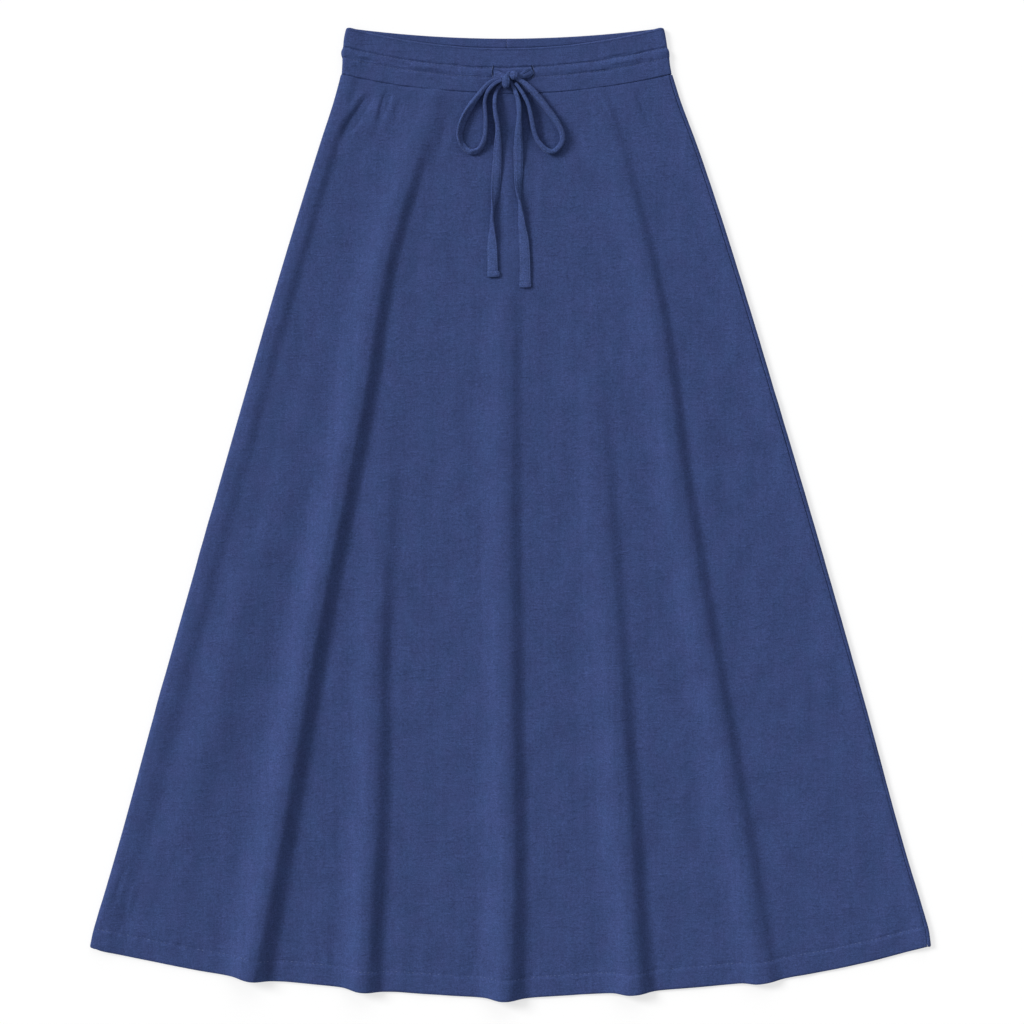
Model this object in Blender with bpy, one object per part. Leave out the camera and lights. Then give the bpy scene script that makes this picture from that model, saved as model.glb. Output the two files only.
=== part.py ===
"""A-line maxi skirt of soft woven cloth, lying flat on its back panel with the front up.

Metres, +Z up. The waist points along +Y, and the origin is on the surface that the skirt
lies on, under the middle of its outline. A drop is a distance down from the waist's
corners, so a point at drop d lies at y = LENGTH / 2 - d.
"""

import math
from collections import namedtuple

import bmesh
import bpy
import numpy as np

LENGTH = 1.0  # waist corners to the lowest point of the hem
CLOTH = 0.0012  # wall of one layer of cloth
GAP = 0.0003  # between two pieces at a seam, or where one lies on another

BAND_DEPTH = 0.0478
BAND_CLOTH = 0.0020  # the band is doubled cloth
BAND_ROLL = 0.0018  # radius of the band's side folds, at the middle of its wall
FRONT_SAG = 0.0206  # how far the front of the band dips in its middle
BACK_SAG = 0.0103
CHANNEL_TOP = 0.0200  # the drawstring channel, below the band's top edge
CHANNEL_BOTTOM = 0.0300
CHANNEL_RISE = 0.0011

HEM_DEPTH = 0.021  # turned and stitched edge
HEM_CLOTH = 0.0016
HEM_DIP = 0.0036  # how far the hem drops where a fold ends in it
HEM_DIP_WIDTH = 0.024
BACK_HEM_INSET = 0.0015  # the back's hem hides behind the front's
BACK_HEM_DEPTH = 0.0165  # and begins below the front's, which lies over it

SIDE_LIFT_WIDTH = 0.026  # the front comes down from its side rolls over this width
WAIST_LIFT_LENGTH = 0.060  # and from the thicker band over this length

SLIT_HEIGHT = 0.0145
SLIT_WIDTH = 0.0010
SLIT_DROP = 0.0463
SLIT_CUT_HEIGHT = 0.010  # from between the band's two layers to above it
SLIT_LEFT_X = -0.0174
SLIT_RIGHT_X = 0.0229

BLUE = (0.044, 0.067, 0.178, 1.0)
BLUE_INSIDE = (0.040, 0.061, 0.163, 1.0)
CLOTH_ROUGHNESS = 0.9

Edge = namedtuple("Edge", "drop left right left_roll right_roll seam_inset")
SKIRT_EDGES = [
    Edge(0.0494, -0.1751, 0.1669, 0.0021, 0.0019, 0.0028),
    Edge(0.0740, -0.1818, 0.1746, 0.0022, 0.0019, 0.0028),
    Edge(0.1152, -0.1951, 0.1900, 0.0023, 0.0020, 0.0032),
    Edge(0.1975, -0.2208, 0.2178, 0.0024, 0.0022, 0.0050),
    Edge(0.2797, -0.2455, 0.2435, 0.0025, 0.0022, 0.0052),
    Edge(0.3620, -0.2692, 0.2682, 0.0025, 0.0022, 0.0054),
    Edge(0.5265, -0.3165, 0.3165, 0.0026, 0.0023, 0.0056),
    Edge(0.6911, -0.3628, 0.3633, 0.0027, 0.0023, 0.0058),
    Edge(0.8556, -0.4080, 0.4090, 0.0027, 0.0023, 0.0058),
    Edge(0.9276, -0.4296, 0.4306, 0.0027, 0.0023, 0.0056),
    Edge(0.9447, -0.4327, 0.4327, 0.0027, 0.0023, 0.0056),
]

BandEdge = namedtuple("BandEdge", "depth left right")
BAND_EDGES = [
    BandEdge(0.0000, -0.1694, 0.1576),
    BandEdge(0.0123, -0.1720, 0.1602),
    BandEdge(0.0190, -0.1728, 0.1612),
    BandEdge(0.0250, -0.1746, 0.1631),
    BandEdge(0.0320, -0.1734, 0.1634),
    BandEdge(0.0478, -0.1741, 0.1657),
]

HemPoint = namedtuple("HemPoint", "x drop")
HEM = [
    HemPoint(-0.4322, 0.9447),
    HemPoint(-0.3731, 0.9586),
    HemPoint(-0.3155, 0.9699),
    HemPoint(-0.2003, 0.9832),
    HemPoint(-0.0995, 0.9915),
    HemPoint(-0.0008, 0.9965),
    HemPoint(0.0856, 0.9925),
    HemPoint(0.1885, 0.9848),
    HemPoint(0.3037, 0.9719),
    HemPoint(0.3612, 0.9606),
    HemPoint(0.4322, 0.9431),
]

# A fold rises gently on its left over the rise width and falls steeply on its right over
# the fall width. Its stations give where its crest runs and how high it stands.
Fold = namedtuple("Fold", "rise fall stations")
Station = namedtuple("Station", "drop crest height")
FOLDS = [
    Fold(0.050, 0.023, [
        Station(0.048, -0.0740, 0.0000),
        Station(0.126, -0.0975, 0.0045),
        Station(0.228, -0.1283, 0.0075),
        Station(0.383, -0.1571, 0.0095),
        Station(0.588, -0.1962, 0.0105),
        Station(0.794, -0.2332, 0.0120),
        Station(0.959, -0.2641, 0.0135),
    ]),
    Fold(0.042, 0.022, [
        Station(0.048, -0.0550, 0.0000),
        Station(0.250, -0.0980, 0.0000),
        Station(0.400, -0.1215, 0.0005),
        Station(0.588, -0.1380, 0.0050),
        Station(0.794, -0.1427, 0.0090),
        Station(0.959, -0.1520, 0.0115),
    ]),
    Fold(0.045, 0.023, [
        Station(0.048, -0.0040, 0.0000),
        Station(0.200, -0.0055, 0.0000),
        Station(0.280, -0.0059, 0.0025),
        Station(0.486, -0.0059, 0.0060),
        Station(0.691, -0.0049, 0.0085),
        Station(0.897, -0.0039, 0.0110),
        Station(0.959, -0.0059, 0.0125),
    ]),
    Fold(0.045, 0.023, [
        Station(0.048, 0.0420, 0.0000),
        Station(0.300, 0.0760, 0.0000),
        Station(0.383, 0.0846, 0.0020),
        Station(0.588, 0.1011, 0.0055),
        Station(0.794, 0.1144, 0.0090),
        Station(0.959, 0.1247, 0.0110),
    ]),
    Fold(0.045, 0.021, [
        Station(0.048, 0.0810, 0.0000),
        Station(0.126, 0.1062, 0.0030),
        Station(0.280, 0.1443, 0.0060),
        Station(0.486, 0.1751, 0.0078),
        Station(0.691, 0.2101, 0.0078),
        Station(0.897, 0.2461, 0.0065),
        Station(0.959, 0.2564, 0.0070),
    ]),
]

# Where the front panel's columns lie between one fold's crest and the next.
COLUMN_SHARES = (0.0, 0.06, 0.12, 0.19, 0.29, 0.41, 0.54, 0.67, 0.79, 0.90)
SKIRT_ROWS = 17
ROW_CROWDING = 1.2  # above 1, rows lie closer together near the waist
BACK_COLUMNS = 12
ROLL_STEPS = 5
ROLL_TUCK = 0.0010  # the front runs on under itself this far, from its left roll to the seam
BAND_FRONT_COLUMNS = 30
BAND_BACK_COLUMNS = 7
BAND_DEPTHS = (0.0, 0.008, 0.0165, 0.020, 0.0225, 0.025, 0.0275, 0.030, 0.0335, 0.041, BAND_DEPTH)

# The drawstring is a flat tape of the skirt's cloth. It stands on its edge where it is narrow.
TAPE_RINGS = 30
TAPE_SIDES = 8
LEAD_RINGS = 6
Tape = namedtuple("Tape", "x drop width thick lift")
LEFT_LOOP = [
    Tape(-0.0114, 0.0531, 0.0036, 0.0034, 0.0006),
    Tape(-0.0141, 0.0535, 0.0040, 0.0036, 0.0006),
    Tape(-0.0203, 0.0558, 0.0044, 0.0048, 0.0006),
    Tape(-0.0249, 0.0597, 0.0046, 0.0056, 0.0004),
    Tape(-0.0308, 0.0666, 0.0048, 0.0060, 0.0002),
    Tape(-0.0373, 0.0749, 0.0052, 0.0062, 0.0000),
    Tape(-0.0429, 0.0838, 0.0060, 0.0064, 0.0000),
    Tape(-0.0476, 0.0925, 0.0068, 0.0066, 0.0000),
    Tape(-0.0507, 0.1005, 0.0066, 0.0066, 0.0000),
    Tape(-0.0525, 0.1100, 0.0062, 0.0066, 0.0000),
    Tape(-0.0508, 0.1186, 0.0056, 0.0064, 0.0000),
    Tape(-0.0460, 0.1244, 0.0052, 0.0062, 0.0000),
    Tape(-0.0400, 0.1275, 0.0050, 0.0062, 0.0000),
    Tape(-0.0335, 0.1256, 0.0048, 0.0064, 0.0000),
    Tape(-0.0290, 0.1191, 0.0046, 0.0068, 0.0000),
    Tape(-0.0266, 0.1110, 0.0043, 0.0072, 0.0000),
    Tape(-0.0258, 0.1000, 0.0041, 0.0074, 0.0000),
    Tape(-0.0262, 0.0870, 0.0038, 0.0074, 0.0000),
    Tape(-0.0268, 0.0765, 0.0036, 0.0070, 0.0004),
    Tape(-0.0250, 0.0688, 0.0036, 0.0060, 0.0014),
    Tape(-0.0201, 0.0611, 0.0036, 0.0044, 0.0034),
    Tape(-0.0146, 0.0570, 0.0034, 0.0032, 0.0046),
]
RIGHT_LOOP = [
    Tape(0.0090, 0.0542, 0.0040, 0.0036, 0.0018),
    Tape(0.0118, 0.0557, 0.0046, 0.0044, 0.0014),
    Tape(0.0188, 0.0614, 0.0056, 0.0056, 0.0010),
    Tape(0.0254, 0.0685, 0.0062, 0.0062, 0.0006),
    Tape(0.0324, 0.0770, 0.0064, 0.0066, 0.0002),
    Tape(0.0389, 0.0856, 0.0063, 0.0066, 0.0000),
    Tape(0.0455, 0.0944, 0.0060, 0.0066, 0.0000),
    Tape(0.0501, 0.1021, 0.0056, 0.0064, 0.0000),
    Tape(0.0529, 0.1097, 0.0054, 0.0064, 0.0000),
    Tape(0.0531, 0.1157, 0.0053, 0.0062, 0.0000),
    Tape(0.0504, 0.1216, 0.0053, 0.0060, 0.0000),
    Tape(0.0455, 0.1262, 0.0052, 0.0058, 0.0000),
    Tape(0.0415, 0.1272, 0.0052, 0.0058, 0.0000),
    Tape(0.0359, 0.1249, 0.0051, 0.0060, 0.0000),
    Tape(0.0313, 0.1207, 0.0048, 0.0062, 0.0000),
    Tape(0.0271, 0.1151, 0.0045, 0.0066, 0.0000),
    Tape(0.0242, 0.1074, 0.0042, 0.0070, 0.0000),
    Tape(0.0219, 0.0974, 0.0041, 0.0072, 0.0000),
    Tape(0.0200, 0.0873, 0.0040, 0.0070, 0.0000),
    Tape(0.0179, 0.0791, 0.0039, 0.0066, 0.0002),
    Tape(0.0141, 0.0709, 0.0037, 0.0054, 0.0008),
    Tape(0.0094, 0.0632, 0.0034, 0.0040, 0.0018),
]
LEFT_TAIL = [
    Tape(-0.0124, 0.0612, 0.0036, 0.0032, 0.0002),
    Tape(-0.0153, 0.0669, 0.0038, 0.0044, 0.0000),
    Tape(-0.0164, 0.0741, 0.0040, 0.0062, 0.0000),
    Tape(-0.0164, 0.0823, 0.0043, 0.0072, 0.0000),
    Tape(-0.0154, 0.0905, 0.0045, 0.0072, 0.0000),
    Tape(-0.0139, 0.0982, 0.0046, 0.0066, 0.0000),
    Tape(-0.0131, 0.1065, 0.0052, 0.0056, 0.0000),
    Tape(-0.0132, 0.1152, 0.0066, 0.0044, 0.0000),
    Tape(-0.0135, 0.1250, 0.0080, 0.0032, 0.0000),
    Tape(-0.0141, 0.1400, 0.0090, 0.0024, 0.0000),
    Tape(-0.0150, 0.1530, 0.0094, 0.0022, 0.0000),
    Tape(-0.0157, 0.1640, 0.0090, 0.0026, 0.0000),
    Tape(-0.0168, 0.1770, 0.0066, 0.0034, 0.0000),
    Tape(-0.0184, 0.1865, 0.0044, 0.0044, 0.0000),
    Tape(-0.0193, 0.1950, 0.0040, 0.0048, 0.0000),
    Tape(-0.0191, 0.2050, 0.0056, 0.0042, 0.0000),
    Tape(-0.0192, 0.2160, 0.0082, 0.0030, 0.0000),
    Tape(-0.0192, 0.2290, 0.0102, 0.0022, 0.0000),
    Tape(-0.0189, 0.2440, 0.0110, 0.0020, 0.0000),
    Tape(-0.0186, 0.2555, 0.0112, 0.0020, 0.0000),
]
RIGHT_TAIL = [
    Tape(0.0018, 0.0586, 0.0038, 0.0034, 0.0002),
    Tape(0.0044, 0.0648, 0.0042, 0.0044, 0.0000),
    Tape(0.0068, 0.0720, 0.0046, 0.0060, 0.0000),
    Tape(0.0084, 0.0802, 0.0050, 0.0070, 0.0000),
    Tape(0.0087, 0.0885, 0.0050, 0.0070, 0.0000),
    Tape(0.0083, 0.0967, 0.0054, 0.0062, 0.0000),
    Tape(0.0081, 0.1059, 0.0070, 0.0048, 0.0000),
    Tape(0.0079, 0.1152, 0.0083, 0.0036, 0.0000),
    Tape(0.0079, 0.1250, 0.0093, 0.0028, 0.0000),
    Tape(0.0079, 0.1400, 0.0094, 0.0024, 0.0000),
    Tape(0.0078, 0.1520, 0.0088, 0.0026, 0.0000),
    Tape(0.0077, 0.1640, 0.0066, 0.0036, 0.0000),
    Tape(0.0083, 0.1720, 0.0046, 0.0048, 0.0000),
    Tape(0.0091, 0.1780, 0.0040, 0.0050, 0.0000),
    Tape(0.0101, 0.1865, 0.0048, 0.0046, 0.0000),
    Tape(0.0116, 0.2026, 0.0074, 0.0032, 0.0000),
    Tape(0.0132, 0.2155, 0.0098, 0.0024, 0.0000),
    Tape(0.0141, 0.2300, 0.0105, 0.0020, 0.0000),
    Tape(0.0148, 0.2500, 0.0110, 0.0020, 0.0000),
    Tape(0.0148, 0.2665, 0.0118, 0.0020, 0.0000),
]
LEFT_LEAD = [
    Tape(-0.0172, 0.0460, 0.0100, 0.0016, 0.0000),
    Tape(-0.0140, 0.0466, 0.0086, 0.0020, 0.0004),
    Tape(-0.0105, 0.0476, 0.0058, 0.0026, 0.0014),
    Tape(-0.0078, 0.0486, 0.0040, 0.0030, 0.0022),
]
RIGHT_LEAD = [
    Tape(0.0227, 0.0454, 0.0106, 0.0016, 0.0000),
    Tape(0.0185, 0.0462, 0.0096, 0.0020, 0.0004),
    Tape(0.0130, 0.0482, 0.0062, 0.0026, 0.0014),
    Tape(0.0082, 0.0496, 0.0040, 0.0030, 0.0022),
]

# The knot is two rounded lobes, each given by its middle and its half widths.
Lobe = namedtuple("Lobe", "x drop lift half_x half_y half_z")
KNOT_LOBES = [
    Lobe(-0.0052, 0.0564, 0.0052, 0.0052, 0.0059, 0.0050),
    Lobe(0.0020, 0.0500, 0.0056, 0.0052, 0.0053, 0.0050),
]
KNOT_SEGMENTS = 20
KNOT_RINGS = 12


def clear_scene():
    for item in list(bpy.data.objects):
        bpy.data.objects.remove(item, do_unlink=True)


def column(rows, name):
    return np.array([getattr(row, name) for row in rows], dtype=float)


def curve_at(stations, values, at):
    """A smooth curve through the values at rising stations, straight beyond both ends."""
    at = np.asarray(at, dtype=float)
    slopes = np.gradient(values, stations)
    held = np.clip(at, stations[0], stations[-1])
    k = np.clip(np.searchsorted(stations, held) - 1, 0, len(stations) - 2)
    span = stations[k + 1] - stations[k]
    t = (held - stations[k]) / span
    start = (1 + 2 * t) * (1 - t) ** 2 * values[k] + t * (1 - t) ** 2 * span * slopes[k]
    end = t * t * (3 - 2 * t) * values[k + 1] + t * t * (t - 1) * span * slopes[k + 1]
    beyond = np.minimum(at - stations[0], 0) * slopes[0]
    return start + end + beyond + np.maximum(at - stations[-1], 0) * slopes[-1]


def skirt_edge(name, drop):
    return curve_at(column(SKIRT_EDGES, "drop"), column(SKIRT_EDGES, name), drop)


def band_edge(name, depth):
    return curve_at(column(BAND_EDGES, "depth"), column(BAND_EDGES, name), depth)


def bell(t):
    """1 at the middle, falling smoothly to 0 at -1 and 1."""
    return np.cos(np.clip(t, -1, 1) * math.pi / 2) ** 2


def crest_x(fold, drop):
    return curve_at(column(fold.stations, "drop"), column(fold.stations, "crest"), drop)


def fold_height(fold, x, drop):
    """The cloth's lift by one fold: a slow rise that steepens to the crest, then a fall."""
    stations = column(fold.stations, "drop")
    high = np.maximum(curve_at(stations, column(fold.stations, "height"), drop), 0)
    across = x - crest_x(fold, drop)
    rise = bell(across / fold.rise) ** 2
    fall = bell(across / fold.fall)
    return high * np.where(across < 0, rise, fall)


def waist_sag(x, amount):
    inset = BAND_ROLL + BAND_CLOTH / 2
    left = band_edge("left", BAND_DEPTH) + inset
    right = band_edge("right", BAND_DEPTH) - inset
    across = (2 * x - left - right) / (right - left)
    return amount * np.maximum(1 - across ** 2, 0)


def front_top_drop(x):
    return BAND_DEPTH + GAP + waist_sag(x, FRONT_SAG)


def back_top_drop(x):
    return BAND_DEPTH + GAP + waist_sag(x, BACK_SAG)


def hem_line(x):
    return curve_at(column(HEM, "x"), column(HEM, "drop"), x)


def front_hem_drop(x):
    drop = hem_line(x)
    for fold in FOLDS:
        crest = fold.stations[-1].crest
        drop = drop + HEM_DIP * bell((x - crest) / HEM_DIP_WIDTH)
    return drop


def back_hem_drop(x):
    return hem_line(x) - BACK_HEM_INSET


def front_left_x(drop):
    return skirt_edge("left", drop) + skirt_edge("left_roll", drop) + CLOTH / 2


def front_right_x(drop):
    return skirt_edge("right", drop) - skirt_edge("seam_inset", drop) - GAP


def front_middle_height(x, drop):
    """Height of the middle of the front panel's wall above the surface it lies on."""
    flat = CLOTH + GAP + CLOTH / 2
    left_top = CLOTH / 2 + 2 * skirt_edge("left_roll", drop)
    right_top = CLOTH / 2 + 2 * skirt_edge("right_roll", drop)
    band_middle = BAND_CLOTH + GAP + BAND_CLOTH / 2
    from_left = (x - front_left_x(drop)) / SIDE_LIFT_WIDTH
    from_right = (front_right_x(drop) - x) / SIDE_LIFT_WIDTH
    from_top = (drop - front_top_drop(x)) / WAIST_LIFT_LENGTH
    inner = np.minimum(1 - bell(from_left), 1 - bell(from_right))
    lift = (left_top - flat) * bell(from_left) + (right_top - flat) * bell(from_right)
    lift = lift + (band_middle - flat) * bell(from_top) * inner
    for fold in FOLDS:
        lift = lift + fold_height(fold, x, drop) * inner
    return flat + lift


def band_middle_height(x, depth):
    """Height of the middle of the band's front wall, with its channel standing proud."""
    flat = BAND_CLOTH + GAP + BAND_CLOTH / 2
    side = BAND_CLOTH / 2 + 2 * BAND_ROLL - flat
    inset = BAND_ROLL + BAND_CLOTH / 2
    from_left = (x - band_edge("left", depth) - inset) / SIDE_LIFT_WIDTH
    from_right = (band_edge("right", depth) - inset - x) / SIDE_LIFT_WIDTH
    middle = (CHANNEL_TOP + CHANNEL_BOTTOM) / 2
    half = (CHANNEL_BOTTOM - CHANNEL_TOP) / 2
    channel = CHANNEL_RISE * bell((depth - middle) / half)
    return flat + side * (bell(from_left) + bell(from_right)) + channel


def top_surface(x, drop):
    """Height of the cloth's upper face at a point of the front, band or skirt."""
    depth = drop - waist_sag(x, FRONT_SAG)
    band = band_middle_height(x, np.minimum(depth, BAND_DEPTH)) + BAND_CLOTH / 2
    skirt = front_middle_height(x, np.maximum(drop, front_top_drop(x))) + CLOTH / 2
    return np.where(depth < BAND_DEPTH, band, skirt)


def drop_where(line, place, start):
    """The drop at which a column, whose x is place(drop), meets a line across the skirt."""
    drop = start
    for _ in range(5):
        drop = float(line(place(drop)))
    return drop


def row_drops(top, hem, hem_depth):
    """Drops of one column's rows, each with the cloth's thickness there."""
    turned = hem - hem_depth
    rows = []
    for k in range(SKIRT_ROWS + 1):
        share = (k / SKIRT_ROWS) ** ROW_CROWDING
        rows.append((top + (turned - top) * share, CLOTH))
    rows.append((turned + 0.0015, HEM_CLOTH))
    rows.append((hem, HEM_CLOTH))
    return rows


def front_rows(place):
    top = drop_where(front_top_drop, place, BAND_DEPTH)
    hem = drop_where(front_hem_drop, place, LENGTH)
    return row_drops(top, hem, HEM_DEPTH)


def back_rows(place):
    top = drop_where(back_top_drop, place, BAND_DEPTH)
    hem = drop_where(back_hem_drop, place, LENGTH)
    return row_drops(top, hem, BACK_HEM_DEPTH)


def roll_points(centre_x, radius, wall, side, steps):
    """Half a turn round a side fold, as (x, height) from its bottom to its top."""
    points = []
    for k in range(steps):
        angle = math.pi * k / (steps - 1)
        x = centre_x + side * radius * math.sin(angle)
        points.append((x, wall / 2 + radius - radius * math.cos(angle)))
    return points


def front_columns():
    """Each column of the front between its left roll and its right seam, as x of drop."""
    def between(low, high, share):
        return lambda drop: (1 - share) * low(drop) + share * high(drop)

    lines = [front_left_x]
    for fold in FOLDS:
        lines.append(lambda drop, fold=fold: crest_x(fold, drop))
    lines.append(front_right_x)
    places = []
    for low, high in zip(lines, lines[1:]):
        for share in COLUMN_SHARES:
            places.append(between(low, high, share))
    places.append(front_right_x)
    return places


def front_sections():
    """The front's wall middle, row by row: (x, drop, height, wall) from left to right."""
    places = front_columns()
    spans = [front_rows(place) for place in places]
    sections = []
    for k in range(len(spans[0])):
        drop, wall = spans[0][k]
        radius = float(skirt_edge("left_roll", drop))
        turn = roll_points(float(front_left_x(drop)), radius, CLOTH, -1, ROLL_STEPS)
        section = [(turn[0][0] + ROLL_TUCK, drop, CLOTH / 2, CLOTH)]
        section += [(x, drop, height, CLOTH) for x, height in turn[:-1]]
        for place, span in zip(places, spans):
            drop, wall = span[k]
            x = float(place(drop))
            over_back_hem = wall - CLOTH
            half_own_hem = (wall - CLOTH) / 2
            height = float(front_middle_height(x, drop)) + over_back_hem + half_own_hem
            section.append((x, drop, height, wall))
        sections.append(section)
    return sections


def back_sections():
    """The back's wall middle, from its seam on the front round the right side roll."""
    def start_x(drop):
        return skirt_edge("right", drop) - skirt_edge("right_roll", drop) - CLOTH / 2

    def end_x(drop):
        return front_left_x(drop) + ROLL_TUCK + GAP

    places = []
    for k in range(BACK_COLUMNS + 1):
        share = k / BACK_COLUMNS
        places.append(lambda drop, t=share: (1 - t) * start_x(drop) + t * end_x(drop))
    spans = [back_rows(place) for place in places]
    sections = []
    for k, (drop, _) in enumerate(front_rows(front_right_x)):
        radius = float(skirt_edge("right_roll", drop))
        turn = roll_points(float(start_x(drop)), radius, CLOTH, 1, ROLL_STEPS)
        seam = float(skirt_edge("right", drop) - skirt_edge("seam_inset", drop))
        section = [(seam, drop, turn[-1][1], CLOTH)]
        section += [(x, drop, height, CLOTH) for x, height in reversed(turn[1:])]
        for place, span in zip(places, spans):
            drop, wall = span[k]
            section.append((float(place(drop)), drop, wall / 2, wall))
        sections.append(section)
    return sections


def band_sections():
    """The band's wall middle, from the centre-back seam round the left side and the front."""
    inset = BAND_ROLL + BAND_CLOTH / 2
    sections = []
    for depth in BAND_DEPTHS:
        left = float(band_edge("left", depth)) + inset
        right = float(band_edge("right", depth)) - inset
        centre = (left + right) / 2
        back_left = np.linspace(centre - GAP / 2, left, BAND_BACK_COLUMNS + 1)
        back_right = np.linspace(right, centre + GAP / 2, BAND_BACK_COLUMNS + 1)
        front = np.linspace(left, right, BAND_FRONT_COLUMNS + 1)

        def place(x, height, sag):
            across = (2 * x - left - right) / (right - left)
            drop = depth + sag * max(1 - across ** 2, 0)
            return (x, drop, height, BAND_CLOTH)

        section = [place(x, BAND_CLOTH / 2, BACK_SAG) for x in back_left[:-1]]
        turn = roll_points(left, BAND_ROLL, BAND_CLOTH, -1, ROLL_STEPS)
        section += [(x, depth, height, BAND_CLOTH) for x, height in turn[:-1]]
        section += [place(x, float(band_middle_height(x, depth)), FRONT_SAG) for x in front]
        turn = roll_points(right, BAND_ROLL, BAND_CLOTH, 1, ROLL_STEPS)
        section += [(x, depth, height, BAND_CLOTH) for x, height in reversed(turn[:-1])]
        section += [place(x, BAND_CLOTH / 2, BACK_SAG) for x in back_right[1:]]
        sections.append(section)
    return sections


def wall_sides(section):
    """The outer and inner points of a section's wall, half its thickness either way."""
    middle = np.array([(x, height) for x, _, height, _ in section])
    along = np.gradient(middle, axis=0)
    along = along / np.linalg.norm(along, axis=1)[:, None]
    outward = np.column_stack((-along[:, 1], along[:, 0]))
    half = np.array([wall for _, _, _, wall in section])[:, None] / 2
    sides = []
    for points in (middle + outward * half, middle - outward * half):
        flat = [(p[0], LENGTH / 2 - row[1], max(p[1], 0.0)) for p, row in zip(points, section)]
        sides.append(flat)
    return sides


def wall_solid(name, sections):
    """A closed wall of cloth through its sections."""
    bm = bmesh.new()
    outer = []
    inner = []
    for section in sections:
        outside, inside = wall_sides(section)
        outer.append([bm.verts.new(point) for point in outside])
        inner.append([bm.verts.new(point) for point in inside])
    rows = len(sections)
    columns = len(sections[0])
    for r in range(rows - 1):
        for c in range(columns - 1):
            bm.faces.new((outer[r][c], outer[r + 1][c], outer[r + 1][c + 1], outer[r][c + 1]))
            bm.faces.new((inner[r][c], inner[r][c + 1], inner[r + 1][c + 1], inner[r + 1][c]))
        for c in (0, columns - 1):
            bm.faces.new((outer[r][c], inner[r][c], inner[r + 1][c], outer[r + 1][c]))
    for r in (0, rows - 1):
        for c in range(columns - 1):
            bm.faces.new((outer[r][c], outer[r][c + 1], inner[r][c + 1], inner[r][c]))
    bmesh.ops.recalc_face_normals(bm, faces=bm.faces)
    return mesh_object(name, bm)


def mesh_object(name, bm):
    bmesh.ops.triangulate(bm, faces=bm.faces)
    mesh = bpy.data.meshes.new(name)
    bm.to_mesh(mesh)
    bm.free()
    mesh.shade_smooth()
    mesh.set_sharp_from_angle(angle=math.radians(40))
    item = bpy.data.objects.new(name, mesh)
    bpy.context.scene.collection.objects.link(item)
    return item


def cloth_material(name, colour):
    material = bpy.data.materials.new(name)
    material.use_nodes = True
    shader = material.node_tree.nodes["Principled BSDF"]
    shader.inputs["Base Color"].default_value = colour
    shader.inputs["Roughness"].default_value = CLOTH_ROUGHNESS
    shader.inputs["Metallic"].default_value = 0.0
    return material


def dress(item, colour):
    item.data.materials.append(cloth_material(item.name + "_cloth", colour))
    return item


def cut_slits(band):
    """Two upright buttonholes through the front of the band's channel."""
    bm = bmesh.new()
    low = BAND_CLOTH + GAP / 2
    high = low + SLIT_CUT_HEIGHT
    for x in (SLIT_LEFT_X, SLIT_RIGHT_X):
        box = bmesh.ops.create_cube(bm, size=1.0)["verts"]
        bmesh.ops.scale(bm, verts=box, vec=(SLIT_WIDTH, SLIT_HEIGHT, high - low))
        middle = (x, LENGTH / 2 - SLIT_DROP, (low + high) / 2)
        bmesh.ops.translate(bm, verts=box, vec=middle)
    cutter = mesh_object("slit_cutter", bm)
    cutter.hide_render = True
    cutter.display_type = "WIRE"
    cut = band.modifiers.new("slits", "BOOLEAN")
    cut.operation = "DIFFERENCE"
    cut.solver = "EXACT"
    cut.object = cutter


def tape_solid(name, stops, rings):
    """A tape that lies on the cloth along its stops, with a rounded flat section."""
    x_stops = column(stops, "x")
    drop_stops = column(stops, "drop")
    steps = np.hypot(np.diff(x_stops), np.diff(drop_stops))
    reach = np.concatenate(([0.0], np.cumsum(steps)))
    at = np.linspace(0.0, reach[-1], rings)
    x, drop, width, thick, lift = (
        curve_at(reach, column(stops, field), at) for field in Tape._fields
    )
    along = np.column_stack((np.gradient(x), -np.gradient(drop)))
    along = along / np.linalg.norm(along, axis=1)[:, None]
    across = np.column_stack((along[:, 1], -along[:, 0]))
    ground = np.max([
        top_surface(x + side * width * across[:, 0], drop - side * width * across[:, 1])
        for side in (-0.5, -0.25, 0.0, 0.25, 0.5)
    ], axis=0)
    height = ground + GAP + thick / 2 + lift
    bm = bmesh.new()
    loops = []
    for k in range(rings):
        loop = []
        for s in range(TAPE_SIDES):
            turn = 2 * math.pi * (s + 0.5) / TAPE_SIDES
            out = width[k] / 2 * round_flat(math.cos(turn))
            up = thick[k] / 2 * round_flat(math.sin(turn))
            place = (
                x[k] + out * across[k][0],
                LENGTH / 2 - drop[k] + out * across[k][1],
                height[k] + up,
            )
            loop.append(bm.verts.new(place))
        loops.append(loop)
    for low, high in zip(loops, loops[1:]):
        for s in range(TAPE_SIDES):
            t = (s + 1) % TAPE_SIDES
            bm.faces.new((low[s], low[t], high[t], high[s]))
    bm.faces.new(loops[0][::-1])
    bm.faces.new(loops[-1])
    bmesh.ops.recalc_face_normals(bm, faces=bm.faces)
    return mesh_object(name, bm)


def round_flat(value):
    """Pushes a circle's point outward, so that eight of them make a rounded flat section."""
    return math.copysign(abs(value) ** 0.7 / math.cos(math.pi / TAPE_SIDES) ** 0.7, value)


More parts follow.
